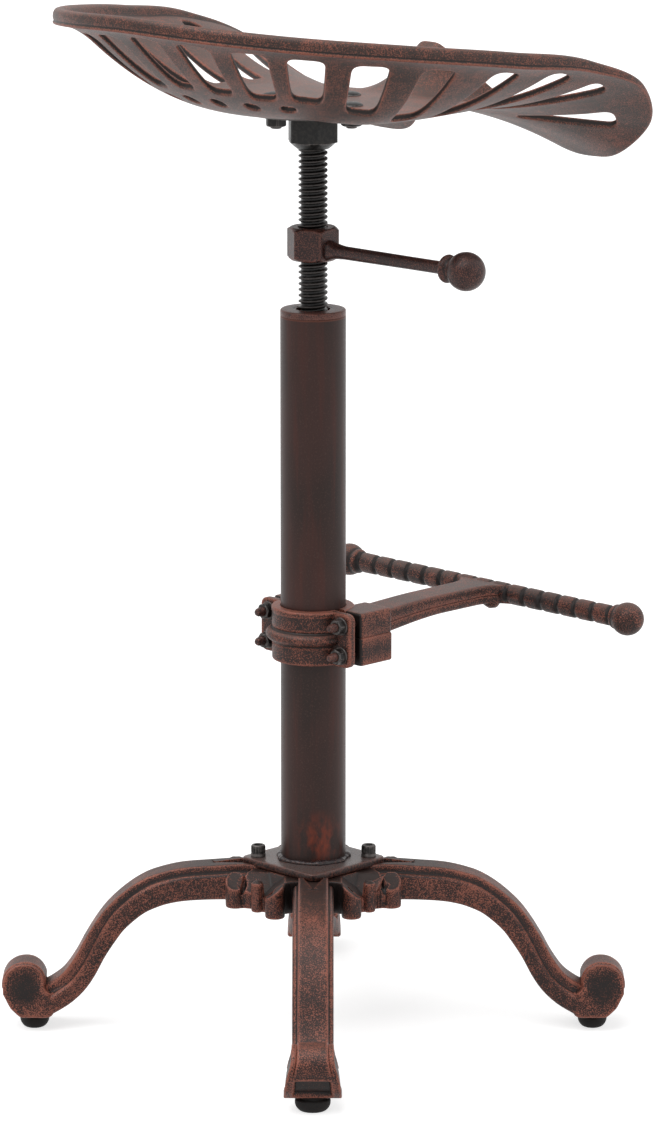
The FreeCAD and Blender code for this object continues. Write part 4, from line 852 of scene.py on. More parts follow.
def rounded_box(low, high, corner, edge, axis=0, rings=(3.0,)):
    """A block whose outline square to an axis has rounded corners, and whose long edges are rounded: rows
    of the outline drawn in by a quarter circle at both ends, with rows further in on the end faces."""
    steps, least = 6, 0.15
    low, high = np.asarray(low, float), np.asarray(high, float)
    others = [k for k in range(3) if k != axis]
    half = (high[others] - low[others]) / 2
    middle = (high[others] + low[others]) / 2
    angle = np.linspace(0, math.pi / 2, steps + 1)
    centres = np.array([(1, 1), (-1, 1), (-1, -1), (1, -1)])

    def outline(inset):
        """The outline drawn in by the inset: an arc at each corner, and five points inside each long side."""
        radius = max(corner - inset, least)
        parts = []
        for k, centre in enumerate(centres):
            around = angle + k * math.pi / 2
            arc = np.column_stack([np.cos(around), np.sin(around)]) * radius
            parts.append(centre * (half - inset - radius) + arc)
        loop = np.concatenate(parts)
        side = np.roll(loop, -1, 0) - loop
        dense = loop[:, None] + side[:, None] * (np.arange(steps) / steps)[None, :, None]
        long = np.linalg.norm(side, axis=1) > 2.5
        return np.concatenate([dense[i] if long[i] else dense[i, :1] for i in range(len(loop))])

    quarter = np.linspace(0, math.pi / 2, 5)
    rows = [(edge * (1 - math.sin(a)), edge * (1 - math.cos(a))) for a in quarter]
    ends = [(edge + ring, 0.0) for ring in rings[::-1]] + rows
    inset_rows = [(inset, low[axis] + along) for inset, along in ends]
    inset_rows += [(0.0, (low[axis] + high[axis]) / 2)]
    inset_rows += [(inset, high[axis] - along) for inset, along in ends[::-1]]
    base = outline(0.0)
    result = []
    for inset, along in inset_rows:
        loop = outline(inset)
        if len(loop) != len(base):
            loop = np.sign(base) * np.minimum(np.abs(base), np.maximum(half - inset, 0.1))
        ring = np.zeros((len(base), 3))
        ring[:, others] = middle + loop
        ring[:, axis] = along
        result.append(ring)
    return surface(result)


def arm_shell():
    """The arm: a slab over its plan outline, which flares into the bar by two arcs, thinner outwards, with
    rounded edges and a groove along the middle of its sides."""
    flare = np.radians(np.linspace(0, 90, 12))
    radius = 19.0
    side = np.array([(20.0, -15.5), (40, -14.6), (60, -13.4), (85, -12.8), (110, -12.8), (130, -13.0)])
    arc = np.column_stack([BAR_REACH - 2 - radius + radius * np.sin(flare),
                           -13.2 - radius + radius * np.cos(flare)])
    tip = np.array([(1, -35.0), (3.5, -30.0), (4.5, -15.0), (4.5, 0)]) + [BAR_REACH, 0]
    half = np.concatenate([side, arc, tip])
    loop = np.concatenate([half, (half * [1, -1])[::-1][1:]])
    rounded = [(0, 0.0), (0.9, 0.35), (1.7, 1.1), (2.1, 2.2), (2.2, 3.4)]
    groove = [(2.25, 1.3), (2.0, 0.5), (1.35, 0.0), (2.0, -0.5), (2.25, -1.3)]

    def top(p):
        """Upper side: it rises 3.2 mm from the clamp outwards."""
        return 289.0 + 3.2 * ramp_between(p[:, 0], 20, 110)

    def bottom(p):
        """Lower side: it rises 6.3 mm from the clamp outwards."""
        return 272.5 + 6.3 * ramp_between(p[:, 0], 28, 120)

    def wall(p, out):
        """Rows of a way out and a height from the upper side, the wall's middle and the lower side."""
        high, low = top(p), bottom(p)
        middle = (high + low) / 2 - 0.8
        rows = [(go, high - down) for go, down in rounded] + [(go, middle + shift) for go, shift in groove]
        rows += [(go, low + up) for go, up in rounded[::-1]]
        return np.array([np.column_stack([p + out * go, height]) for go, height in rows])

    return slab([loop], [2.2], 1.9, top, bottom, [wall])[:2]


def bar_shell(bar_radius, ball_radius, pitch):
    """The cross bar with its balls: radius as a function of the way along and the angle round. The bar has
    a slanted groove each pitch, swells to a neck, and each ball carries a fine raised parting line. A third
    array holds the painted shade in the grooves."""
    ball = BALL_SIDE + ball_radius - ball_radius * (1 - np.cos(np.linspace(0, math.pi * 0.82, 26)))
    along = np.concatenate([ball, np.linspace(ball[-1], 0, 150)[1:]])
    along = np.concatenate([along, -along[::-1][1:]])
    steps = 48
    a, y = (np.arange(steps) * TURN / steps)[None], along[:, None]
    slant = np.abs((np.abs(y) / pitch - 0.06 * np.sin(a + 0.9) * np.sign(y)) % 1 - 0.5)
    radius = bar_radius + 0.35 - 1.4 * np.exp(-(slant / 0.1) ** 2)
    from_ball = BALL_SIDE - np.abs(y)
    radius = radius + 1.6 * np.exp(-np.maximum(from_ball - 10.5, 0) / 2.2)
    in_ball = np.sqrt(np.maximum(ball_radius ** 2 - from_ball ** 2, 0))
    radius = np.maximum(np.where(np.abs(y) > BALL_SIDE, 0, radius), in_ball)
    seam = np.minimum(np.abs(np.angle(np.exp(1j * a))), np.abs(np.angle(np.exp(1j * (a - math.pi)))))
    radius = radius + 0.15 * np.exp(-((seam * radius) / 0.6) ** 2) * (radius > 1)
    rings = np.stack([BAR_REACH + radius * np.cos(a), np.broadcast_to(y, radius.shape),
                      BAR_HEIGHT + radius * np.sin(a)], -1)
    points, faces = surface(rings)
    # Painted shade in the slanted grooves
    groove = np.exp(-(slant / 0.12) ** 2) * (from_ball > 12)
    return points, faces, np.concatenate([-1.5 * groove.reshape(-1), [0, 0]])


def at_clamp(shell):
    """A shell of the clamp's own frame turned to where the arm points."""
    return turn_about_z(shell[0], CLAMP_TURN), *shell[1:]


# Spindle

def thread_shell(low, high, pitch, crest_radius, root_radius):
    """The screw: a trapezoidal ridge on the helix z = z0 + pitch (angle / turn), fading to the root at both
    ends, where the rows gather on the end circles."""
    steps = 40
    # way along a pitch, and share of the ridge's height
    profile = np.array([(0.0, 0), (0.12, 0), (0.2, 0.12), (0.34, 0.88), (0.4, 1), (0.6, 1), (0.66, 0.88),
                        (0.8, 0.12), (0.88, 0)])
    turns = int((high - low) / pitch) + 2
    angle = np.arange(steps + 1) * TURN / steps
    rows = (np.arange(-1, turns)[:, None] + profile[None, :, 0]).reshape(-1)
    crest = np.tile(profile[:, 1], turns + 1)
    z = low + pitch * (rows[:, None] + angle[None] / TURN)
    fade = ramp_between(z, low + 0.5, low + 3) * ramp_between(-z, -high + 0.5, -high + 3)
    radius = root_radius + (crest_radius - root_radius) * crest[:, None] * fade
    z = np.clip(z, low, high)
    points = np.stack([radius * np.cos(angle), radius * np.sin(angle), z], -1)
    quads = grid_faces(len(rows), steps + 1, wrap_columns=False)
    tris = np.concatenate([quads[:, [0, 1, 2]], quads[:, [0, 2, 3]]])
    points = points.reshape(-1, 3)
    key, back = np.unique(np.round(points, 4), axis=0, return_inverse=True)
    tris = back.reshape(-1)[tris]
    tris = tris[(tris[:, 0] != tris[:, 1]) & (tris[:, 1] != tris[:, 2]) & (tris[:, 0] != tris[:, 2])]
    caps = []
    for height, order in ((low, 1), (high, -1)):
        ring = np.flatnonzero(np.abs(key[:, 2] - height) < 1e-6)
        ring = ring[np.argsort(np.arctan2(key[ring, 1], key[ring, 0]))][::order]
        key = np.concatenate([key, [[0, 0, height]]])
        caps.append(np.stack([np.full(len(ring), len(key) - 1), np.roll(ring, -1), ring], -1))
    return key, [tris] + caps


# Materials

# Kinds of node that the finishes use often, and their usual settings
NOISE, RANGE, MIX, MATHS = "ShaderNodeTexNoise", "ShaderNodeMapRange", "ShaderNodeMix", "ShaderNodeMath"
SMOOTH = {"interpolation_type": "SMOOTHSTEP"}
COLOUR = {"data_type": "RGBA", "output": 2}


def node(tree, kind, inputs=(), output=0, **settings):
    """Adds a node with its settings. Each input follows a socket, or holds a hex colour or a value: inputs
    are given in order, or by name or number. The chosen output comes back."""
    made = tree.nodes.new(kind)
    place = len(tree.nodes) - 1
    made.location = (220 * (place % 8), -320 * (place // 8))
    for name, value in settings.items():
        setattr(made, name, value)
    for name, value in inputs.items() if isinstance(inputs, dict) else enumerate(inputs):
        if isinstance(value, bpy.types.NodeSocket):
            tree.links.new(value, made.inputs[name])
        else:
            made.inputs[name].default_value = (*linear(value), 1) if isinstance(value, str) else value
    return made.outputs[output] if made.outputs else made


def grain(coords, millimetres, detail):
    """Inputs of a noise on Object coordinates whose lumps are about so many millimetres wide."""
    return {"Vector": coords, "Scale": 1000.0 / millimetres, "Detail": detail, "Roughness": 0.55}


def new_material(name):
    """An empty material, its tree and its Object coordinates."""
    material = bpy.data.materials.new(name)
    material.use_nodes = True
    tree = material.node_tree
    tree.nodes.clear()
    return material, tree, node(tree, "ShaderNodeTexCoord", output="Object")


def antique_copper(name, dark, body, copper, dust_and_sheen, density, line, speck=0.75, roughness=0.48, bump=0.2, shade=0.0):
    """Antique copper coat on rough cast iron. The eye sees a black-brown hammered ground, a fine speckle of
    coppery dots that is denser on edges and in smudges, a rubbed copper line on the sharpest edges, painted
    shade in inner corners and dust with a painted sheen on the tops. With shade, tops near the column get a
    painted shade. The photo's speckle is about 0.4 mm wide: it is drawn 0.75 mm wide, as a finer one doesn't
    show in the render."""
    material, tree, coords = new_material(name)
    speckle = node(tree, NOISE, grain(coords, speck, 2.0))
    fine = node(tree, NOISE, grain(coords, speck * 0.6, 1.0))
    patch = node(tree, NOISE, grain(coords, 30.0, 2.0))
    smudge = node(tree, NOISE, grain(coords, 7.0, 3.0))
    wear = node(tree, "ShaderNodeAttribute", output="Fac", attribute_name="wear")
    normal = node(tree, "ShaderNodeNewGeometry", output="Normal")
    up = node(tree, "ShaderNodeSeparateXYZ", [normal], "Z")
    # Ground, with dust and a painted sheen on what faces up
    share = node(tree, RANGE, (fine, 0.38, 0.62, 0, 1), **SMOOTH)
    base = node(tree, MIX, {0: share, 6: dark, 7: body}, **COLOUR)
    dust_and_sheen_share = node(tree, RANGE, (up, 0.4, 0.95, 0, 0.55), **SMOOTH)
    base = node(tree, MIX, {0: dust_and_sheen_share, 6: base, 7: dust_and_sheen}, **COLOUR)
    # Where the speckle's level passes the middle, copper shows
    level = speckle
    for source, weight in ((wear, 0.12), (smudge, 0.25), (patch, 0.25)):
        level = node(tree, MATHS, (source, weight, level), operation="MULTIPLY_ADD")
    if shade:
        plan = node(tree, "ShaderNodeVectorMath", (coords, (1, 1, 0)), operation="MULTIPLY")
        reach = node(tree, "ShaderNodeVectorMath", [plan], "Value", operation="LENGTH")
        near = node(tree, RANGE, (reach, 0.06, 0.12, 1, 0), **SMOOTH)
        topward = node(tree, RANGE, (up, 0.1, 0.7, 0, 1), **SMOOTH)
        near = node(tree, MATHS, (near, topward), operation="MULTIPLY")
        level = node(tree, MATHS, (near, -shade, level), operation="MULTIPLY_ADD")
        half = node(tree, MATHS, (near, 0.5), operation="MULTIPLY")
        base = node(tree, MIX, {0: half, 6: base, 7: dark}, **COLOUR)
    middle = 0.75 + 0.3 * (0.5 - density)
    dots = node(tree, RANGE, (level, middle - 0.06, middle + 0.13, 0, 0.92), **SMOOTH)
    colour = node(tree, MIX, {0: dots, 6: base, 7: copper}, **COLOUR)
    # Rubbed edges, broken up by the speckle, and painted shade in the inner corners and recesses
    rubbed = node(tree, MATHS, (speckle, 1.6, wear), operation="MULTIPLY_ADD")
    rubbed = node(tree, RANGE, (rubbed, 1.3, 2.0, 0, line), **SMOOTH)
    colour = node(tree, MIX, {0: rubbed, 6: colour, 7: copper}, **COLOUR)
    corner_shade = node(tree, MATHS, (wear, -1.0), operation="MULTIPLY")
    corner_shade = node(tree, RANGE, (corner_shade, 0.05, 0.7, 0, 0.8), **SMOOTH)
    colour = node(tree, MIX, {0: corner_shade, 6: colour, 7: "#0e0807"}, **COLOUR)
    dull = node(tree, RANGE, (fine, 0.3, 0.7, roughness - 0.07, roughness + 0.09), **SMOOTH)
    height = node(tree, MATHS, (fine, 0.5, speckle), operation="MULTIPLY_ADD")
    relief = node(tree, "ShaderNodeBump", {"Strength": bump, "Distance": 0.0006, "Height": height})
    shader = node(tree, "ShaderNodeBsdfPrincipled", {
        "Base Color": colour, "Metallic": 0.2, "Specular IOR Level": 0.36, "Roughness": dull, "Normal": relief})
    node(tree, "ShaderNodeOutputMaterial", {"Surface": shader})
    return material


def tube_coat(name, ground):
    """Antique bronze powder coat on steel tube. The eye sees a smooth dark brown with clouds 45 mm wide and
    90 mm tall, faint red-brown streaks along the tube, 6 mm wide and 100 mm long, a light grain 1.2 mm wide,
    and a rubbed copper smear near the foot."""
    material, tree, coords = new_material(name)
    noises = []
    for millimetres, detail, stretch in ((6.0, 3.0, 0.06), (45.0, 2.0, 0.5), (6.0, 3.0, 0.5)):
        drawn = node(tree, "ShaderNodeMapping", {"Vector": coords, "Scale": (1.0, 1.0, stretch)})
        noises.append(node(tree, NOISE, grain(drawn, millimetres, detail)))
    streak, cloud, rub = noises
    fine = node(tree, NOISE, grain(coords, 1.2, 2.0))
    wear = node(tree, "ShaderNodeAttribute", output="Fac", attribute_name="wear")
    share = node(tree, RANGE, (cloud, 0.35, 0.65, 0, 1), **SMOOTH)
    colour = node(tree, MIX, {0: share, 6: "#261916", 7: ground}, **COLOUR)
    smear_at = (0.006, -0.0215, 0.140)
    near = node(tree, "ShaderNodeVectorMath", (coords, smear_at), "Value", operation="DISTANCE")
    near = node(tree, RANGE, (near, 0.004, 0.024, 1, 0), **SMOOTH)
    smear = node(tree, MATHS, (near, node(tree, RANGE, (rub, 0.35, 0.75, 0, 1), **SMOOTH)), operation="MULTIPLY")
    # Streaks, light grain, smear and rubbed edges, one over the other
    for share, over in ((node(tree, RANGE, (streak, 0.45, 0.75, 0, 0.4), **SMOOTH), "#4d241c"),
                        (node(tree, RANGE, (fine, 0.5, 0.75, 0, 0.3), **SMOOTH), "#4f3a34"),
                        (smear, "#7a3420"),
                        (node(tree, RANGE, (wear, 0.3, 0.9, 0, 0.6), **SMOOTH), "#6a3a2c")):
        colour = node(tree, MIX, {0: share, 6: colour, 7: over}, **COLOUR)
    dull = node(tree, RANGE, (fine, 0.3, 0.7, 0.38, 0.48), **SMOOTH)
    relief = node(tree, "ShaderNodeBump", {"Strength": 0.05, "Distance": 0.0004, "Height": fine})
    shader = node(tree, "ShaderNodeBsdfPrincipled", {
        "Base Color": colour, "Metallic": 0.2, "Specular IOR Level": 0.3, "Roughness": dull, "Normal": relief})
    node(tree, "ShaderNodeOutputMaterial", {"Surface": shader})
    return material


def black_oxide(name, light, dark="#141313", edge="#5a5452", roughness=0.42, metallic=0.55):
    """Black oxide on machined steel. The eye sees near black, faintly mottled every 2 to 3 mm, with bright
    steel showing through on the edges."""
    material, tree, coords = new_material(name)
    mottle = node(tree, NOISE, grain(coords, 2.4, 3.0))
    wear = node(tree, "ShaderNodeAttribute", output="Fac", attribute_name="wear")
    share = node(tree, RANGE, (mottle, 0.38, 0.64, 0, 1), **SMOOTH)
    colour = node(tree, MIX, {0: share, 6: dark, 7: light}, **COLOUR)
    uneven = node(tree, MATHS, (mottle, 0.5), operation="SUBTRACT")
    rubbed = node(tree, MATHS, (uneven, 1.5, wear), operation="MULTIPLY_ADD")
    rubbed = node(tree, RANGE, (rubbed, 0.45, 1.1, 0, 0.85), **SMOOTH)
    colour = node(tree, MIX, {0: rubbed, 6: colour, 7: edge}, **COLOUR)
    dull = node(tree, RANGE, (mottle, 0.3, 0.7, roughness - 0.08, roughness + 0.08), **SMOOTH)
    shader = node(tree, "ShaderNodeBsdfPrincipled", {"Base Color": colour, "Metallic": metallic, "Roughness": dull})
    node(tree, "ShaderNodeOutputMaterial", {"Surface": shader})
    return material


def moulded_rubber(name, body):
    """Moulded dark rubber. The eye sees a matt brown-black with a fine bloom, 1.6 mm wide."""
    material, tree, coords = new_material(name)
    bloom = node(tree, NOISE, grain(coords, 1.6, 2.0))
    share = node(tree, RANGE, (bloom, 0.35, 0.7, 0, 1), **SMOOTH)
    colour = node(tree, MIX, {0: share, 6: "#090706", 7: body}, **COLOUR)
    relief = node(tree, "ShaderNodeBump", {"Strength": 0.08, "Distance": 0.0003, "Height": bloom})
    shader = node(tree, "ShaderNodeBsdfPrincipled", {
        "Base Color": colour, "Specular IOR Level": 0.3, "Roughness": 0.75, "Normal": relief})
    node(tree, "ShaderNodeOutputMaterial", {"Surface": shader})
    return material


def finishes():
    """Every finish by its short name: what makes it, its material's name, and its colours and amounts."""
    look = bpy.context.scene.stool_finish
    copper, legs, seat, clamp, tube, oxide, rubber = (
        "#%02x%02x%02x" % tuple(int(round(255 * part)) for part in colour)
        for colour in (look.rubbed_copper, look.legs, look.seat, look.clamp, look.tube, look.oxide, look.rubber))
    return {
        # The legs are the reddest castings, the seat the palest with the most dust and painted sheen, the clamp
        # between them
        "cast_legs": (antique_copper, "antique_copper_on_cast_iron", {
            "dark": "#120a09", "body": legs, "copper": copper, "dust_and_sheen": "#45342e", "density": 0.43, "line": 0.7,
            "shade": 0.16}),
        "cast_seat": (antique_copper, "antique_copper_seat", {
            "dark": "#201715", "body": seat, "copper": copper, "dust_and_sheen": "#62534d", "density": 0.36, "line": 0.45}),
        "cast_clamp": (antique_copper, "antique_copper_clamp", {
            "dark": "#120a09", "body": clamp, "copper": copper, "dust_and_sheen": "#6a5852", "density": 0.34, "line": 0.5}),
        # Turned steel pieces take the coat smoother and darker than the castings
        "cast_nut": (antique_copper, "copper_coated_steel_turned", {
            "dark": "#150b0c", "body": "#2e1a19", "copper": "#6b4238", "dust_and_sheen": "#3a2724", "density": 0.33,
            "line": 0.5, "roughness": 0.38, "bump": 0.1}),
        # The plate is flat and sleek, and its weld has almost no copper: both are drawn with a coarser speckle
        "plate": (antique_copper, "antique_copper_plate", {
            "dark": "#1b1211", "body": "#2f1f1c", "copper": "#5e3a31", "dust_and_sheen": "#6d625f", "density": 0.2,
            "line": 0.3, "speck": 1.5, "roughness": 0.33, "bump": 0.08}),
        "weld": (antique_copper, "antique_copper_weld", {
            "dark": "#120b0c", "body": "#221819", "copper": "#4b322c", "dust_and_sheen": "#2f2527", "density": 0.1,
            "line": 0.1, "speck": 1.5, "roughness": 0.32, "bump": 0.15}),
        "tube": (tube_coat, "bronze_powder_coat_tube", {"ground": tube}),
        "oxide": (black_oxide, "black_oxide_steel", {"light": oxide}),
        # The thread is darker, and its crests less bright
        "thread": (black_oxide, "black_oxide_screw_thread", {
            "dark": "#0d0c0c", "light": "#1c1a19", "edge": "#3c3735", "roughness": 0.36, "metallic": 0.5}),
        "rubber": (moulded_rubber, "moulded_dark_rubber", {"body": rubber}),
    }


def finish_of(name):
    """A finish by its short name, made the first time it is asked for."""
    maker, title, settings = finishes()[name]
    return bpy.data.materials.get(title) or maker(title, **settings)


# What a user may change

def colour_property(name, code, description):
    """A colour property whose default is a hex sRGB value."""
    return FloatVectorProperty(name=name, description=description, subtype="COLOR_GAMMA", size=3, min=0, max=1,
                               default=channels(code))


def length_property(name, millimetres, description):
    """A length property, in metres as Blender keeps it, whose default is in millimetres."""
    return FloatProperty(name=name, description=description, unit="LENGTH", precision=4, min=0,
                         default=millimetres * MM)


def in_mm(length):
    """A length property's value in millimetres, without the stray digits of single precision."""
    return round(length / MM, 3)


class StoolFinish(PropertyGroup):
    """Colours and light that a user may change."""
    rubbed_copper: colour_property("Rubbed copper", "#8f5545", "Copper that shows on worn edges of the castings")
    legs: colour_property("Legs", "#271815", "Lighter ground of the leg casting, under its copper")
    seat: colour_property("Seat", "#433530", "Lighter ground of the seat pan, under its copper")
    clamp: colour_property("Clamp", "#291a17", "Lighter ground of the footrest and its clamp, under their copper")
    tube: colour_property("Tube", "#36211d", "Lighter clouds of the column tube's coat")
    oxide: colour_property("Black oxide", "#2b2927", "Lighter mottling of screws, nuts and boss")
    rubber: colour_property("Rubber", "#150f0d", "Lighter bloom of the foot pads")
    key_light: FloatProperty(name="Key light", default=2.4, min=0, description="Strength of the main soft light")
    fill_light: FloatProperty(name="Fill light", default=0.8, min=0, description="Strength of the side light")


class StoolSizes(PropertyGroup):
    """Sizes of the visible model that a user may change."""
    slot_round: length_property("Slot rounding", 1.2, "Rounding of the slots' edges")
    oval_length: length_property("Oval length", 13.0, "Length of the small ovals")
    oval_width: length_property("Oval width", 10.0, "Width of the small ovals")
    thread_pitch: length_property("Thread pitch", 4.0, "Rise of the spindle's thread for each turn")
    thread_radius: length_property("Thread radius", 10.0, "Radius over the thread's crests")
    thread_root: length_property("Thread root", 8.25, "Radius between the thread's crests")
    bar_radius: length_property("Bar radius", 6.8, "Radius of the footrest's bar")
    bar_ball: length_property("Bar ball", 11.6, "Radius of the balls on the bar")
    bar_groove: length_property("Bar groove pitch", 16.3, "Distance from one groove of the bar to the next")
    handle_ball: length_property("Handle ball", 13.2, "Radius of the ball on the lock nut's handle")
    floor_size: length_property("Floor", 30000.0, "Width of the pale floor")


# Pieces

class STOOL_OT_seat(Operator):
    """Cast seat pan with its rolled rim, slots and ovals"""
    bl_idname = "stool.seat"
    bl_label = "Seat pan"

    def execute(self, context):
        sizes = context.scene.stool_sizes
        pan = seat_shell(in_mm(sizes.oval_length), in_mm(sizes.oval_width), in_mm(sizes.slot_round))
        put("seat_pan_cast", [pan], "seat", finish_of("cast_seat"), ["seat_pan"],
            spread=1.1, sharp=50)
        return {"FINISHED"}


class STOOL_OT_legs(Operator):
    """Four scrolled legs, their feet and the bracketed hub"""
    bl_idname = "stool.legs"
    bl_label = "Leg casting"

    def execute(self, context):
        leg, foot = leg_shell(), foot_shell()
        shells = [hub_shell()]
        for quarter in range(4):
            for points, *rest in (leg, foot):
                shells.append((turn_about_z(points, 90 * quarter), *rest))
        put("leg_casting_scrolled", shells, "base", finish_of("cast_legs"), ["leg_casting"],
            spread=1.7, sharp=45)
        return {"FINISHED"}


class STOOL_OT_plate(Operator):
    """Square base plate with its corners over the legs"""
    bl_idname = "stool.plate"
    bl_label = "Base plate"

    def execute(self, context):
        side = PLATE_REACH / math.sqrt(2) + 0.4
        points, faces = rounded_box((-side, -side, PLATE_LOW), (side, side, PLATE_TOP), 5.5, 1.1, axis=2,
                                    rings=(3.0, 12.0))
        put("base_plate_square", [(turn_about_z(points, 45), faces)], "base", finish_of("plate"),
            ["base_plate"], spread=2.0)
        return {"FINISHED"}


class STOOL_OT_plate_screws(Operator):
    """Two socket head cap screws in the base plate, and their washers"""
    bl_idname = "stool.plate_screws"
    bl_label = "Base plate screws"

    def execute(self, context):
        side, seat = 38.4, PLATE_TOP + 2.4
        washer = [(3.4, 122.8), (3.7, PLATE_TOP), (4.9, PLATE_TOP), (5.2, 122.8), (5.2, 124.4), (4.9, seat),
                  (3.7, seat), (3.4, 124.6)]
        head = [(0.0, seat), (3.6, seat), (4.7, seat), (4.9, 125.2), (4.9, 126.2), (4.9, 128), (4.9, 129.6),
                (4.75, 130.4), (4.3, 130.85), (3.6, 130.9), (3.1, 130.9), (2.88, 130.6), (2.85, 129),
                (2.85, 127.6), (0.0, 127.2)]

        def knurled(angle, height, radius):
            """30 square ridges round the head's side, 0.12 mm out and as far in between them."""
            on_side = (radius > 4.8) & (height > 125.3) & (height < 130)
            return radius + np.where(on_side, 0.12 * np.sign(np.sin(angle * 30)), 0)

        places = [(side * sign, 0, 0) for sign in (-1, 1)]
        screws = [lathe(head, place, steps=120, shape=knurled) for place in places]
        washers = [lathe(washer, place, steps=40, hollow=True) for place in places]
        put("base_cap_screws", screws, "base", finish_of("oxide"), ["base_screws"], spread=0.8)
        put("base_cap_washers", washers, "base", finish_of("oxide"), ["base_screw_washers"],
            spread=0.8)
        return {"FINISHED"}


class STOOL_OT_tube(Operator):
    """Column tube"""
    bl_idname = "stool.tube"
    bl_label = "Column tube"

    def execute(self, context):
        rows = [(TUBE_RADIUS, height) for height in (503, 500, 420, 300, 200, 140, 128)]
        line = ([(TUBE_BORE, 300), (TUBE_BORE, TUBE_TOP), (TUBE_RADIUS, TUBE_TOP)] + rows
                + [(TUBE_RADIUS, PLATE_TOP), (TUBE_BORE, PLATE_TOP), (TUBE_BORE, 300)])
        tube = softened(line, [0, 0.2, 0.5] + [0] * len(rows) + [0.2, 0.2, 0], 3)[:-1]
        put("column_tube_coated", [lathe(tube, steps=128, hollow=True)], "base", finish_of("tube"),
            ["column_tube"], spread=1.5)
        return {"FINISHED"}


class STOOL_OT_cap(Operator):
    """Cap ring on the column tube, with a shallow groove round its bore"""
    bl_idname = "stool.cap"
    bl_label = "Column cap"

    def execute(self, context):
        bore = 11.75
        cap = softened([(bore, 507), (bore, CAP_TOP), (12.6, CAP_TOP - 0.4), (13.8, CAP_TOP),
                        (TUBE_RADIUS, CAP_TOP), (TUBE_RADIUS, TUBE_TOP), (bore, TUBE_TOP), (bore, 507)],
                       [0, 0.5, 0.8, 0.6, 1.5, 0.4, 0.3, 0], 5)[:-1]
        put("column_cap_ring", [lathe(cap, steps=128, hollow=True)], "base", finish_of("cast_nut"),
            ["column_cap"], spread=2.4)
        return {"FINISHED"}


class STOOL_OT_weld(Operator):
    """Weld bead at the tube's foot: a ring of ovals whose size and place waver with the angle"""
    bl_idname = "stool.weld"
    bl_label = "Weld bead"

    def execute(self, context):
        steps, rows = 160, 14
        angle = np.arange(steps) * TURN / steps
        turn = (np.arange(rows) * TURN / rows)[:, None]
        swell = (1 + 0.10 * np.sin(23 * angle) * np.sin(2 * angle + 0.6) + 0.17 * np.sin(9 * angle + 1)
                 + 0.07 * np.sin(31 * angle + 2) + 0.16 * np.sin(4 * angle))
        radius = TUBE_RADIUS + 0.3 + 2.7 * np.cos(turn) * swell + 0.5 * np.sin(7 * angle)
        height = PLATE_TOP + 0.5 + 2.1 * np.sin(turn) * swell
        rings = np.stack([radius * np.cos(angle), radius * np.sin(angle), height], -1)
        put("column_weld_bead", [surface(rings, closed_rows=True)], "base", finish_of("weld"),
            ["column_weld"], spread=1.5)
        return {"FINISHED"}


class STOOL_OT_spindle(Operator):
    """Screw spindle with its helical thread"""
    bl_idname = "stool.spindle"
    bl_label = "Screw spindle"

    def execute(self, context):
        sizes = context.scene.stool_sizes
        low, high = 374.7, 637.0
        screw = thread_shell(low, high, in_mm(sizes.thread_pitch), in_mm(sizes.thread_radius),
                             in_mm(sizes.thread_root))
        put("screw_spindle", [screw], "seat", finish_of("thread"), ["threaded_spindle"],
            spread=0.5, sharp=60)
        return {"FINISHED"}


class STOOL_OT_boss(Operator):
    """Hexagon boss under the seat, with a cone below it"""
    bl_idname = "stool.boss"
    bl_label = "Seat boss"

    def execute(self, context):
        flats, turn, cone_top, cone_radius = 32.0, 36.0, 623, 17.2
        hexagonal = hexagon(flats, turn, 0.5, chamfer=(622.5, 646.5, 1.4))
        rows = [(8.5, 621), (10.0, 619.6), (11.2, 619.9), (13.0, 621.4), (15.0, 623.2), (16.4, 624.2), (20, 624.6),
                (20, 625.4), (20, 626.4), (20, 630), (20, 636), (20, 641), (20, 644), (20, FLANGE_LOW),
                (14, FLANGE_LOW), (8.5, FLANGE_LOW)]

        def shape(angle, height, radius):
            """The hexagon above, and a plain cone below."""
            return np.where(height > cone_top, hexagonal(angle, height, radius), np.minimum(radius, cone_radius))

        put("seat_boss_hexagon", [lathe(rows, steps=144, hollow=True, shape=shape)], "seat",
            finish_of("oxide"), ["seat_boss"], spread=1.0)
        return {"FINISHED"}


class STOOL_OT_flange(Operator):
    """Round flange between boss and seat"""
    bl_idname = "stool.flange"
    bl_label = "Seat flange"

    def execute(self, context):
        reach = 48
        disc = softened([(0, FLANGE_LOW), (reach, FLANGE_LOW), (reach, FLANGE_TOP), (0, FLANGE_TOP)],
                        [0, 0.7, 0.7, 0], 3)
        disc = np.concatenate([disc[:1], [(40, FLANGE_LOW)], disc[1:-1], [(40, FLANGE_TOP)], disc[-1:]])
        put("seat_flange_disc", [lathe(disc, steps=96)], "seat", finish_of("oxide"),
            ["seat_flange"], spread=1.0)
        return {"FINISHED"}


class STOOL_OT_seat_bolts(Operator):
    """Four domed bolts through seat and flange, and their nuts"""
    bl_idname = "stool.seat_bolts"
    bl_label = "Seat bolts"

    def execute(self, context):
        circle, head_low, head_reach = 36, 652.6, 8
        tail = [(0, 637.1), (3.2, 637.1), (3.9, 637.8), (3.95, 639), (3.95, 652.2), (7.6, 652.2)]
        rise = np.linspace(0, math.pi / 2, 9)[:-1]
        dome = np.column_stack([head_reach * np.cos(rise), head_low + 2.4 * np.sin(rise)])
        profile = np.concatenate([tail, dome, [(0.3, head_low + 2.4)]])
        bolts, nuts = [], []
        for quarter in range(4):
            place = (*on_plan(circle, SEAT_TURN + 90 * quarter), 0)
            bolts.append(lathe(profile, place, steps=40))
            nuts.append(nut(13.0, 638.6, FLANGE_LOW, 4.0, place, (0, 0, 1), turn=20 * quarter, chamfer=0.7))
        put("seat_bolt_heads", bolts, "seat", finish_of("oxide"), ["seat_bolts"], spread=1.0)
        put("seat_bolt_nuts", nuts, "seat", finish_of("oxide"), ["seat_nuts"], spread=0.8)
        return {"FINISHED"}


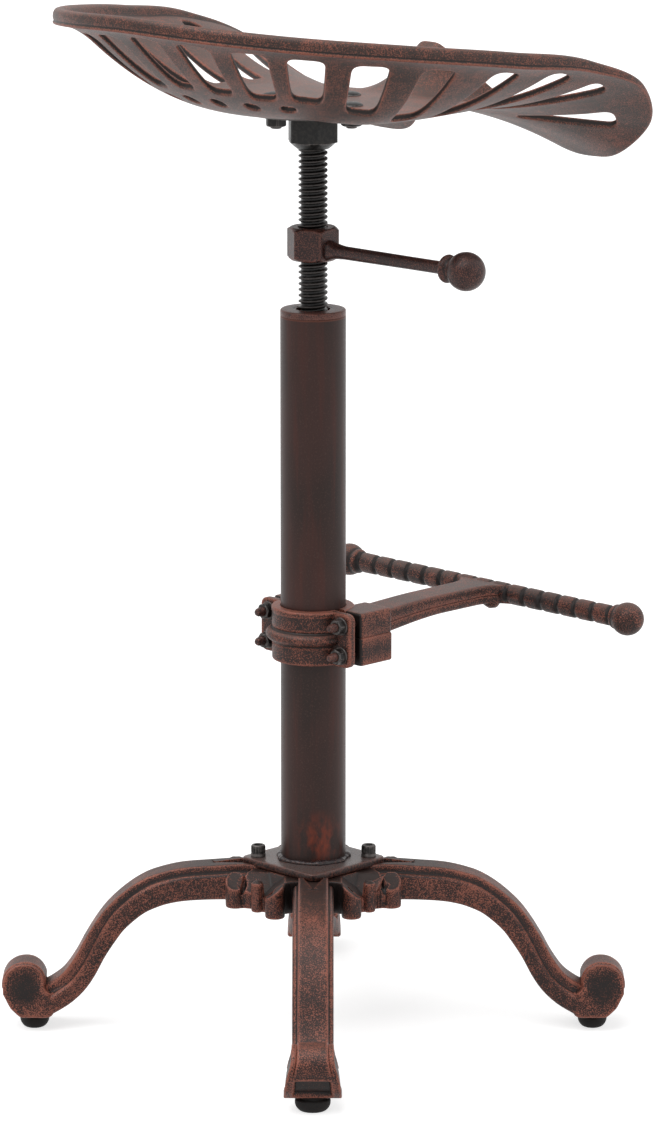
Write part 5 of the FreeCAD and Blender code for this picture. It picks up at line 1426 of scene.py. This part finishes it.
class STOOL_OT_lock_nut(Operator):
    """Hexagon lock nut on the spindle"""
    bl_idname = "stool.lock_nut"
    bl_label = "Lock nut"

    def execute(self, context):
        flats, low, high, bore = 32.0, 543.5, 566.1, 10.4
        shell = nut(flats, low, high, bore, (0, 0, 0), (0, 0, 1), turn=-133.0, chamfer=1.9, steps=144)
        put("lock_nut_hexagon", [shell], "lock", finish_of("cast_nut"), ["lock_nut"], spread=1.6)
        return {"FINISHED"}


class STOOL_OT_handle(Operator):
    """Turned handle of the lock nut: rod, collar and ball, square to the spindle"""
    bl_idname = "stool.handle"
    bl_label = "Handle"

    def execute(self, context):
        start, direction = (0, 0, 551.2), (*on_plan(1, -43.0), 0)
        rod = [(0, 11.5), (5.6, 11.6), (6.6, 13.5), (6.9, 15.2), (6.9, 16.6), (6.5, 18.4), (5.9, 20.0), (5.3, 22.5),
               (4.9, 25.5), (4.6, 30), (4.5, 60), (4.4, 90), (4.4, 110), (4.45, 118), (4.5, 128), (0, 129)]

        def lumpy(angle, along, radius):
            """Three soft lumps, 0.06 of the radius high, on the forged swelling beside the nut."""
            return radius * (1 + 0.06 * np.sin(3 * angle + 1.3 * along / 4) * (along < 26))

        put("handle_rod_turned", [lathe(rod, start, direction, 40, shape=lumpy)], "lock",
            finish_of("cast_nut"), ["handle_rod"], spread=1.2)
        collar = [(4.3, 119.6), (5.2, 119.3), (6.2, 119.8), (7.9, 120.8), (9.2, 122.0), (9.7, 123.3), (9.4, 124.6),
                  (8.3, 125.6), (7.2, 126.5), (6.8, 128.0), (4.3, 128.0)]
        put("handle_collar_turned", [lathe(collar, start, direction, 48, hollow=True)], "lock",
            finish_of("cast_nut"), ["handle_collar"], spread=1.2)
        reach, ball_radius = 139.5, in_mm(context.scene.stool_sizes.handle_ball)
        rise = np.linspace(0, math.pi, 33)[1:-1]
        ball = np.column_stack([ball_radius * np.sin(rise), reach - ball_radius * np.cos(rise)])
        ball = np.concatenate([[(0, reach - ball_radius)], ball, [(0, reach + ball_radius)]])
        put("handle_ball_turned", [lathe(ball, start, direction, 64)], "lock",
            finish_of("cast_nut"), ["handle_ball"], spread=1.2)
        return {"FINISHED"}


class STOOL_OT_clamp(Operator):
    """Front half of the footrest's clamp, with its two ears"""
    bl_idname = "stool.clamp"
    bl_label = "Clamp front"

    def execute(self, context):
        ears = [rounded_box((-8.0, low, CLAMP_LOW), (-2.5, high, CLAMP_HIGH), 5.0, 1.0)
                for low, high in ((-EAR_OUT, -EAR_IN), (EAR_IN, EAR_OUT))]
        put("clamp_front_ring", [at_clamp(half_ring(1.0))] + [at_clamp(ear) for ear in ears], "footrest",
            finish_of("cast_clamp"), ["clamp_front"], spread=1.6)
        return {"FINISHED"}


class STOOL_OT_footrest(Operator):
    """Rear half of the clamp with its lugs, the arm and the bar with its balls"""
    bl_idname = "stool.footrest"
    bl_label = "Footrest arm"

    def execute(self, context):
        sizes = context.scene.stool_sizes
        rear, step = [], 284.0
        for low, high in ((-EAR_OUT, -16.0), (16.0, EAR_OUT)):
            lug = rounded_box((3.0, low, CLAMP_LOW), (34.4, high, step + 0.4), 2.6, 1.3, axis=2)
            top = rounded_box((3.4, low + 0.4, step - 0.4), (34.0, high - 0.4, CLAMP_HIGH - 0.8), 2.6, 1.8, axis=2)
            for points, faces in (lug, top):
                # The parting faces, where the lugs meet the ears, are darkened: painted shade of the narrow gap
                # between them
                rear.append((points, faces, -1.8 * ramp_between(-points[:, 0], -5.0, -3.6)))
        points, faces = half_ring(0.0)
        rear.append((points * [-1, -1, 1], faces))
        bump = lathe([(0, -7.0), (3.0, -6.2), (5.2, -4.0), (6.2, 0), (5.2, 4.0), (3.0, 6.2), (0, 7.0)],
                     (BAR_REACH - 6, -11.5, 280.6), (0, 1, 0), 28)
        bar = bar_shell(in_mm(sizes.bar_radius), in_mm(sizes.bar_ball), in_mm(sizes.bar_groove))
        rear += [arm_shell(), bar, bump]
        put("footrest_casting_arm", [at_clamp(shell) for shell in rear], "footrest",
            finish_of("cast_clamp"), ["footrest_casting"], spread=1.6)
        return {"FINISHED"}


class STOOL_OT_clamp_bolts(Operator):
    """Four bolts of the clamp with their washers and nuts"""
    bl_idname = "stool.clamp_bolts"
    bl_label = "Clamp bolts"

    def execute(self, context):
        washers, nuts, bolts = [], [], []
        axis, nut_low, nut_high = (-1, 0, 0), 9.4, 14.4
        washer = [(3.3, 8.2), (3.5, 8.0), (5.9, 8.0), (6.2, 8.3), (6.2, 9.1), (5.9, nut_low), (3.5, nut_low),
                  (3.3, 9.2)]
        thread = [(3.0 - 0.28 * (k % 2), nut_high + 0.5 * k) for k in range(9)]
        stud = ([(0, -33.0), (3.0, -32.9), (3.0, 5), (3.0, 14.0)] + thread
                + [(2.7, 19.2), (2.0, 20.2), (0.9, 20.4), (0, 20.4)])
        head = [(0, -35.4), (4.6, -35.3), (5.7, -35.0), (6.2, -34.4), (6.2, -33.2), (5.9, -33.0), (0, -33.0)]
        for y in (-BOLT_SIDE, BOLT_SIDE):
            for z in (CLAMP_MIDDLE - BOLT_RISE, CLAMP_MIDDLE + BOLT_RISE):
                place = (0, y, z)
                washers.append(at_clamp(lathe(washer, place, axis, 36, hollow=True)))
                nuts.append(at_clamp(nut(10.0, nut_low, nut_high, 3.05, place, axis, turn=15 + y + z, chamfer=0.6)))
                bolts += [at_clamp(lathe(stud, place, axis, 28)), at_clamp(lathe(head, place, axis, 32))]
        put("clamp_washer_rings", washers, "footrest", finish_of("oxide"), ["clamp_washers"],
            spread=0.8)
        put("clamp_hexagon_nuts", nuts, "footrest", finish_of("oxide"), ["clamp_nuts"], spread=0.8)
        put("clamp_studs", bolts, "footrest", finish_of("cast_nut"), ["clamp_bolts"], spread=0.8)
        return {"FINISHED"}


class STOOL_OT_pads(Operator):
    """Rubber foot pads, narrower along the legs than across"""
    bl_idname = "stool.pads"
    bl_label = "Foot pads"

    def execute(self, context):
        reach, narrowing = 195.2, 0.85
        rows = softened([(0, 0.0), (8.6, 0.0), (11.9, 3.6), (12.1, 8.4), (9.4, 9.0), (9.0, 11.4), (0, 11.6)],
                        [0, 2.0, 2.5, 1.4, 1.0, 0.6, 0], 5)
        points, faces = lathe(rows, steps=56)
        points = points * [narrowing, 1, 1] + [reach, 0, 0]
        pads = [(turn_about_z(points, 90 * k), faces) for k in range(4)]
        put("foot_pads_moulded", pads, "base", finish_of("rubber"), ["foot_pads"], spread=1.0)
        return {"FINISHED"}


class STOOL_OT_inside(Operator):
    """Finishes of the parts inside the column and the feet"""
    bl_idname = "stool.inside"
    bl_label = "Inside parts"

    def execute(self, context):
        for name in ("spindle_nut", "spindle_stop", "foot_pad_screws"):
            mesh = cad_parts[name].data
            mesh.materials.clear()
            mesh.materials.append(finish_of("oxide"))
        return {"FINISHED"}


# Stage

WORLD_LIGHT = 0.3
FLOOR_GREY, FLOOR_GLOW = 0.55, 0.7
# Name of each sun, its width in degrees and the direction that it stands in
SUNS = (("key_light", 60.0, (-0.45, -0.35, 1.2)), ("fill_light", 80.0, (1.0, -0.3, 0.7)))
# The photograph's view: camera in metres and degrees down, focal length and height in the photo's pixels,
# and the sensor's height in millimetres
CAMERA_PLACE, CAMERA_DOWN = (0.0112, -4.0, 1.219), 12.49
FOCAL_PIXELS, PHOTO_HEIGHT, SENSOR = 5949, 1122, 36.0


def background_ray(tree):
    """1 for rays from the camera, and for those seen in a gloss or through glass, else 0."""
    rays = node(tree, "ShaderNodeLightPath").node.outputs
    seen = node(tree, MATHS, (rays["Is Camera Ray"], rays["Is Glossy Ray"]), operation="MAXIMUM")
    return node(tree, MATHS, (seen, rays["Is Transmission Ray"]), operation="MAXIMUM")


class STOOL_OT_stage(Operator):
    """Floor, soft studio light and the camera"""
    bl_idname = "stool.stage"
    bl_label = "Stage"

    def execute(self, context):
        scene = context.scene
        scene.view_settings.view_transform = "Standard"
        # A world that lights the object softly and shows as white behind it
        world = bpy.data.worlds.new("white_studio")
        world.use_nodes = True
        scene.world = world
        tree = world.node_tree
        tree.nodes.clear()
        strength = node(tree, RANGE, (background_ray(tree), 0, 1, WORLD_LIGHT, 1), **SMOOTH)
        sky = node(tree, "ShaderNodeBackground", {"Color": (1, 1, 1, 1), "Strength": strength})
        node(tree, "ShaderNodeOutputWorld", {"Surface": sky})
        # A pale floor that keeps the shadow and glows up to white where it is seen
        half = scene.stool_sizes.floor_size / 2
        mesh = bpy.data.meshes.new("pale_floor")
        corners = [(-half, -half, 0), (half, -half, 0), (half, half, 0), (-half, half, 0)]
        mesh.from_pydata(corners, [], [(0, 1, 2, 3)])
        floor = bpy.data.objects.new("pale_floor", mesh)
        scene.collection.objects.link(floor)
        paper = bpy.data.materials.new("white_paper_floor")
        paper.use_nodes = True
        tree = paper.node_tree
        tree.nodes.clear()
        glow = node(tree, MATHS, (background_ray(tree), FLOOR_GLOW), operation="MULTIPLY")
        glow = node(tree, "ShaderNodeEmission", {"Color": (1, 1, 1, 1), "Strength": glow})
        matt = node(tree, "ShaderNodeBsdfDiffuse", {"Color": (FLOOR_GREY, FLOOR_GREY, FLOOR_GREY, 1)})
        node(tree, "ShaderNodeOutputMaterial", {"Surface": node(tree, "ShaderNodeAddShader", (matt, glow))})
        mesh.materials.append(paper)
        for name, width, direction in SUNS:
            lamp = bpy.data.lights.new(name, "SUN")
            lamp.energy = getattr(scene.stool_finish, name)
            lamp.angle = math.radians(width)
            obj = bpy.data.objects.new(name, lamp)
            obj.rotation_mode = "QUATERNION"
            obj.rotation_quaternion = Vector(direction).to_track_quat("Z", "Y")
            scene.collection.objects.link(obj)
        camera = bpy.data.cameras.new("photo_view")
        camera.sensor_fit = "VERTICAL"
        camera.sensor_height = SENSOR
        camera.lens = SENSOR * FOCAL_PIXELS / PHOTO_HEIGHT
        camera.clip_end = 100
        obj = bpy.data.objects.new("photo_view", camera)
        obj.location = CAMERA_PLACE
        obj.rotation_euler = (math.radians(90 - CAMERA_DOWN), 0, 0)
        scene.collection.objects.link(obj)
        scene.camera = obj
        return {"FINISHED"}


class STOOL_PT_panel(Panel):
    """Colours, sizes and pieces of the stool"""
    bl_label = "Tractor seat stool"
    bl_space_type = "VIEW_3D"
    bl_region_type = "UI"
    bl_category = "Stool"

    def draw(self, context):
        for group in (context.scene.stool_finish, context.scene.stool_sizes):
            for name in group.__annotations__:
                self.layout.prop(group, name)
        for operator in OPERATORS:
            self.layout.operator(operator.bl_idname)


OPERATORS = (STOOL_OT_seat, STOOL_OT_legs, STOOL_OT_plate, STOOL_OT_plate_screws, STOOL_OT_tube, STOOL_OT_cap,
             STOOL_OT_weld, STOOL_OT_spindle, STOOL_OT_boss, STOOL_OT_flange, STOOL_OT_seat_bolts,
             STOOL_OT_lock_nut, STOOL_OT_handle, STOOL_OT_clamp, STOOL_OT_footrest, STOOL_OT_clamp_bolts,
             STOOL_OT_pads, STOOL_OT_inside, STOOL_OT_stage)
CLASSES = (StoolFinish, StoolSizes, *OPERATORS, STOOL_PT_panel)


def register():
    """Registers the classes, and puts both groups of properties on the scene."""
    for item in CLASSES:
        bpy.utils.register_class(item)
    bpy.types.Scene.stool_finish = PointerProperty(type=StoolFinish)
    bpy.types.Scene.stool_sizes = PointerProperty(type=StoolSizes)


def unregister():
    """Takes away what register adds, in the opposite order."""
    del bpy.types.Scene.stool_sizes
    del bpy.types.Scene.stool_finish
    for item in reversed(CLASSES):
        bpy.utils.unregister_class(item)


def main():
    """Makes every piece and the stage in order."""
    register()
    for operator in OPERATORS:
        group, name = operator.bl_idname.split(".")
        getattr(getattr(bpy.ops, group), name)()


if __name__ == "__main__":
    main()
